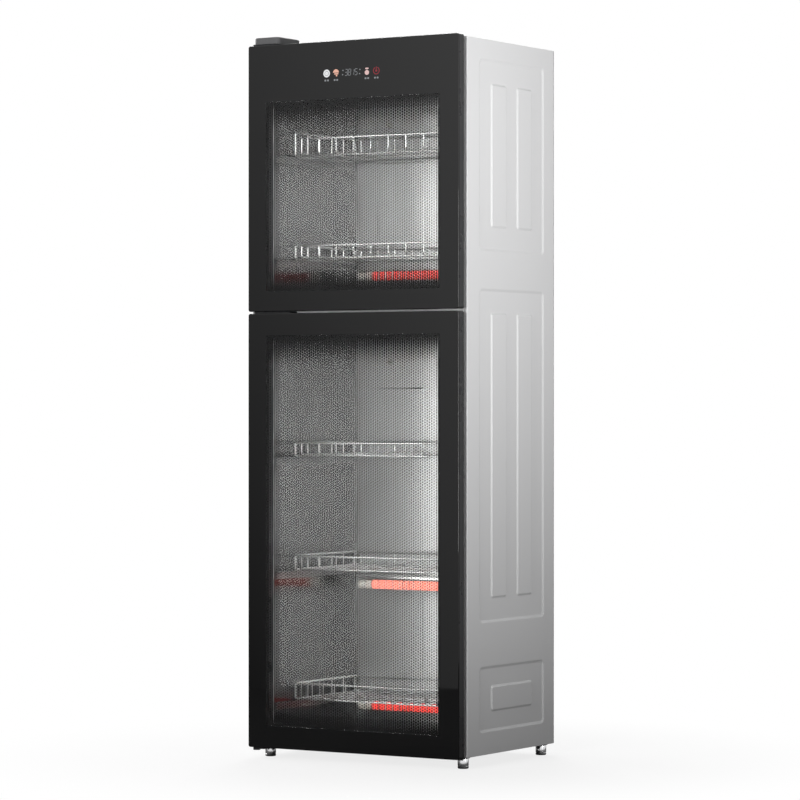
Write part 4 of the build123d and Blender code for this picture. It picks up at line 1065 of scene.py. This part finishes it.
def sweep(curve, radius, sides=10):
    """Round wire along a curve."""
    tree = tree_of(curve)
    circle = add_node(tree, "GeometryNodeCurvePrimitiveCircle", {"Resolution": sides, "Radius": radius})
    return add_node(tree, "GeometryNodeCurveToMesh", {
        "Curve": curve, "Profile Curve": circle.outputs[0], "Fill Caps": True}).outputs[0]


def repeat_along(instance, count, first, step):
    """Copies of a wire, step apart, from the place first."""
    tree = tree_of(instance)
    line = add_node(tree, "GeometryNodeMeshLine", {
        "Count": count, "Start Location": first, "Offset": step}, mode="OFFSET").outputs[0]
    return add_node(tree, "GeometryNodeInstanceOnPoints", {"Points": line, "Instance": instance}).outputs[0]


def join(parts):
    """Several geometries as one."""
    made = add_node(tree_of(*parts), "GeometryNodeJoinGeometry")
    for part in parts:
        lead(part, made, "Geometry")
    return made.outputs[0]


def close_tree(leave, geometry, finish):
    """End a tree in real geometry with its finish."""
    tree = leave.id_data
    real = add_node(tree, "GeometryNodeRealizeInstances", {"Geometry": geometry}).outputs[0]
    done = add_node(tree, "GeometryNodeSetMaterial", {"Geometry": real, "Material": finishes[finish]})
    lead(done.outputs[0], leave, "Geometry")


def run_tree(name, group, values):
    """Evaluate a tree on an empty mesh with these sizes; returns plain mesh data."""
    holder = add_object(name + "_tree", bpy.data.meshes.new(name + "_tree"))
    modifier = holder.modifiers.new("tree", "NODES")
    modifier.node_group = group
    for item in group.interface.items_tree:
        if item.in_out == "INPUT" and item.name in values:
            modifier[item.identifier] = values[item.name]
    return plain_mesh(holder, name)


# %% The rack tree
sizes = ["Half Width", "Front", "Back", "Floor", "Rim", "Pitch", "Wire", "Rim Wire", "Cross Wire", "Bend",
         "Dip", "Dip Start", "Runner"]
rack_tree, entry, leave = geometry_group("wire rack", {**dict.fromkeys(sizes, 0.0), "Wires": 9})
tree = rack_tree
front, back, rim_level, runner_level = [entry[title] for title in ("Front", "Back", "Rim", "Runner")]
weld_depth = 0.6
cross_inset = 0.014
rim_bend = calc(entry["Bend"], "*", 1.6)
low_rim = calc(rim_level, "-", entry["Dip"])
depth = calc(back, "-", front)


def negative(value):
    """The same size to the other side."""
    return calc(value, "*", -1.0)


def side_path(front_top, foot, back_top):
    """A path from the front down, back along the foot, and up at the back."""
    corners = ((front, front_top), (front, foot), (back, foot), (back, back_top))
    return wire_path([vector_of(0.0, y, z) for y, z in corners], entry["Bend"])


def straight(start, end, radius):
    """A straight wire."""
    line = add_node(tree, "GeometryNodeCurvePrimitiveLine", {"Start": start, "End": end})
    return sweep(line.outputs[0], radius, 8)


# One floor wire, from the front rim down, back along the floor and up to the back rim.
floor_wire = sweep(side_path(low_rim, entry["Floor"], rim_level), entry["Wire"], 8)
spread = calc(entry["Wires"], "-", 1.0, "*", entry["Pitch"])
floor_wires = repeat_along(floor_wire, entry["Wires"],
                           vector_of(calc(spread, "*", -0.5)),
                           vector_of(entry["Pitch"]))
# The rim: all the way round, with a lowered middle at the front of a rack that has one.
dip_outer = calc(entry["Half Width"], "-", entry["Dip Start"])
dip_inner = calc(dip_outer, "-", calc(entry["Dip"], "max", 0.001))
left_end, right_end = negative(entry["Half Width"]), entry["Half Width"]
rim_points = [(left_end, front, rim_level), (negative(dip_outer), front, rim_level),
              (negative(dip_inner), front, low_rim), (dip_inner, front, low_rim),
              (dip_outer, front, rim_level), (right_end, front, rim_level),
              (right_end, back, rim_level), (left_end, back, rim_level)]
rim_path = wire_path([vector_of(*point) for point in rim_points], rim_bend, closed=True)
rim = sweep(rim_path, entry["Rim Wire"])
# Runners at the foot of each side, with four uprights, and the cross wires under the floor.
to_left, to_right = vector_of(left_end), vector_of(calc(right_end, "*", 2.0))
runner = sweep(side_path(rim_level, runner_level, rim_level), entry["Rim Wire"])
runners = repeat_along(runner, 2, to_left, to_right)
upright = straight(vector_of(z=runner_level), vector_of(z=rim_level), entry["Wire"])
fifth = calc(depth, "*", 0.2)
upright_row = repeat_along(upright, 4, vector_of(0.0, calc(front, "+", fifth)),
                           vector_of(0.0, fifth))
uprights = repeat_along(upright_row, 2, to_left, to_right)
under = calc(entry["Floor"], "-", calc(entry["Wire"], "+", calc(entry["Cross Wire"], "*", weld_depth)))
cross_wire = straight(vector_of(left_end, 0.0, under), vector_of(right_end, 0.0, under),
                      entry["Cross Wire"])
cross_span = calc(depth, "-", 2.0 * cross_inset)
cross_wires = repeat_along(cross_wire, 3, vector_of(0.0, calc(front, "+", cross_inset)),
                           vector_of(0.0, calc(cross_span, "*", 0.5)))
close_tree(leave, join([floor_wires, rim, runners, uprights, cross_wires]), "rack_wire")

# %% Five racks from the tree
wire_radius, rim_radius, cross_radius = 1.5, 2.5, 2.0
rack_facts = {
    "rack_1": (1359.6, 46.2, 14.0), "rack_2": (1126.0, 46.2, 0.0), "rack_3": (680.0, 46.2, 0.0),
    "rack_4": (422.0, 46.2, 0.0), "rack_5": (128.0, 30.0, 0.0),
}
for name, (floor_level, pitch, dip) in rack_facts.items():
    low, high = box_mm(name)
    half_width = high[0] - rim_radius
    values = {
        "Half Width": half_width, "Front": low[1] + rim_radius, "Back": high[1] - rim_radius,
        "Floor": floor_level, "Rim": high[2] - rim_radius, "Pitch": pitch, "Wire": wire_radius,
        "Rim Wire": rim_radius, "Cross Wire": cross_radius, "Bend": 6.0, "Dip": dip,
        "Dip Start": 30.0, "Runner": low[2] + rim_radius,
    }
    values = {title: value * MM for title, value in values.items()}
    values["Wires"] = int(2.0 * (half_width - pitch / 4.0) // pitch) + 1
    data = run_tree(name, rack_tree, values)
    finish_data(f"{name}_wires", data, f"{name}_body", (name,))

# %% [markdown]
# ## Heaters
# Each heater is a tube that glows red along its whole length, so the tube is drawn as a closed
# glowing rod with pinched ends. The coiled filament lies inside it: a spiral swept with a thin
# circle, which shows only if the tube is taken away.

# %% Filament coils
coil_sizes = {"Coil Radius": 2.6 * MM, "Wire": 0.5 * MM, "Turns": 90.0}
coil_end_gap = 8.0
coil_tree, entry, leave = geometry_group("filament coil", {
    **coil_sizes, "Length": 0.29, "Middle": (0.0, 0.0, 0.0)})
tree = coil_tree
spiral = add_node(tree, "GeometryNodeCurveSpiral", {
    "Resolution": 10, "Rotations": entry["Turns"], "Start Radius": entry["Coil Radius"],
    "End Radius": entry["Coil Radius"], "Height": entry["Length"]}).outputs[0]
down_half = vector_of(z=calc(entry["Length"], "*", -0.5))
centred = add_node(tree, "GeometryNodeTransform", {"Geometry": spiral, "Translation": down_half}).outputs[0]
laid = add_node(tree, "GeometryNodeTransform", {
    "Geometry": centred, "Rotation": (0.0, math.radians(90.0), 0.0),
    "Translation": entry["Middle"]}).outputs[0]
close_tree(leave, sweep(laid, entry["Wire"], 5), "filament")


# %% Turned pieces
def turned(profile, place, steps):
    """A closed turned piece from (distance, radius) pairs; place puts (distance, u, v) in the frame."""
    mesh = bmesh.new()
    rings = [[place(distance, u, v) for u, v in arc(0.0, 0.0, radius, steps=steps)]
             for distance, radius in profile]
    skin(mesh, rings, close_start=True, close_end=True)
    return mesh


# %% Heater tubes
pinch = ((0.0, 1.6), (1.2, 0.4), (3.0, 0.0))
for heater in heaters:
    low, high = box_mm(f"{heater}_heater_tube")
    centre = [(first + second) / 2.0 for first, second in zip(low, high)]
    length = high[0] - low[0] - 2.0 * coil_end_gap
    data = run_tree(f"{heater}_filament", coil_tree, {
        **coil_sizes, "Length": length * MM, "Middle": [value * MM for value in centre]})
    finish_data(f"{heater}_heater_filament", data, "cabinet")
    outer = (high[2] - low[2]) / 2.0
    profile = [(low[0] + away, outer - lost) for away, lost in pinch]
    profile += [(high[0] - away, outer - lost) for away, lost in reversed(pinch)]
    mesh = turned(profile, lambda x, u, v: (x, centre[1] + u, centre[2] + v), 24)
    finish_piece(f"{heater}_heater_quartz", mesh, "heater_tube" if heater == "middle" else "heater_tube_red",
                 "cabinet", (f"{heater}_heater_tube",))

# %% [markdown]
# ## Feet
# Chromed levelling feet: a turned cylinder with a small chamfer and a grip groove, on its stem.

# %% Feet
stem_radius = 3.9
foot_profile = [(0.0, 10.0), (0.6, 11.4), (1.6, 12.0), (5.0, 12.0), (5.6, 11.5), (6.4, 11.5), (7.0, 12.0),
                (20.6, 12.0), (21.9, 11.6), (22.7, 10.4), (22.7, 4.0)]
for name in foot_names:
    low, high = box_mm(name)
    middle = [(first + second) / 2.0 for first, second in zip(low, high)]
    mesh = turned([*foot_profile, (high[2], stem_radius)],
                  lambda z, u, v: (middle[0] + u, middle[1] + v, z), 48)
    finish_piece(f"{name}_turned", mesh, "foot_chrome", f"{name}_body", replaced=(name,), smooth_angle=35.0)
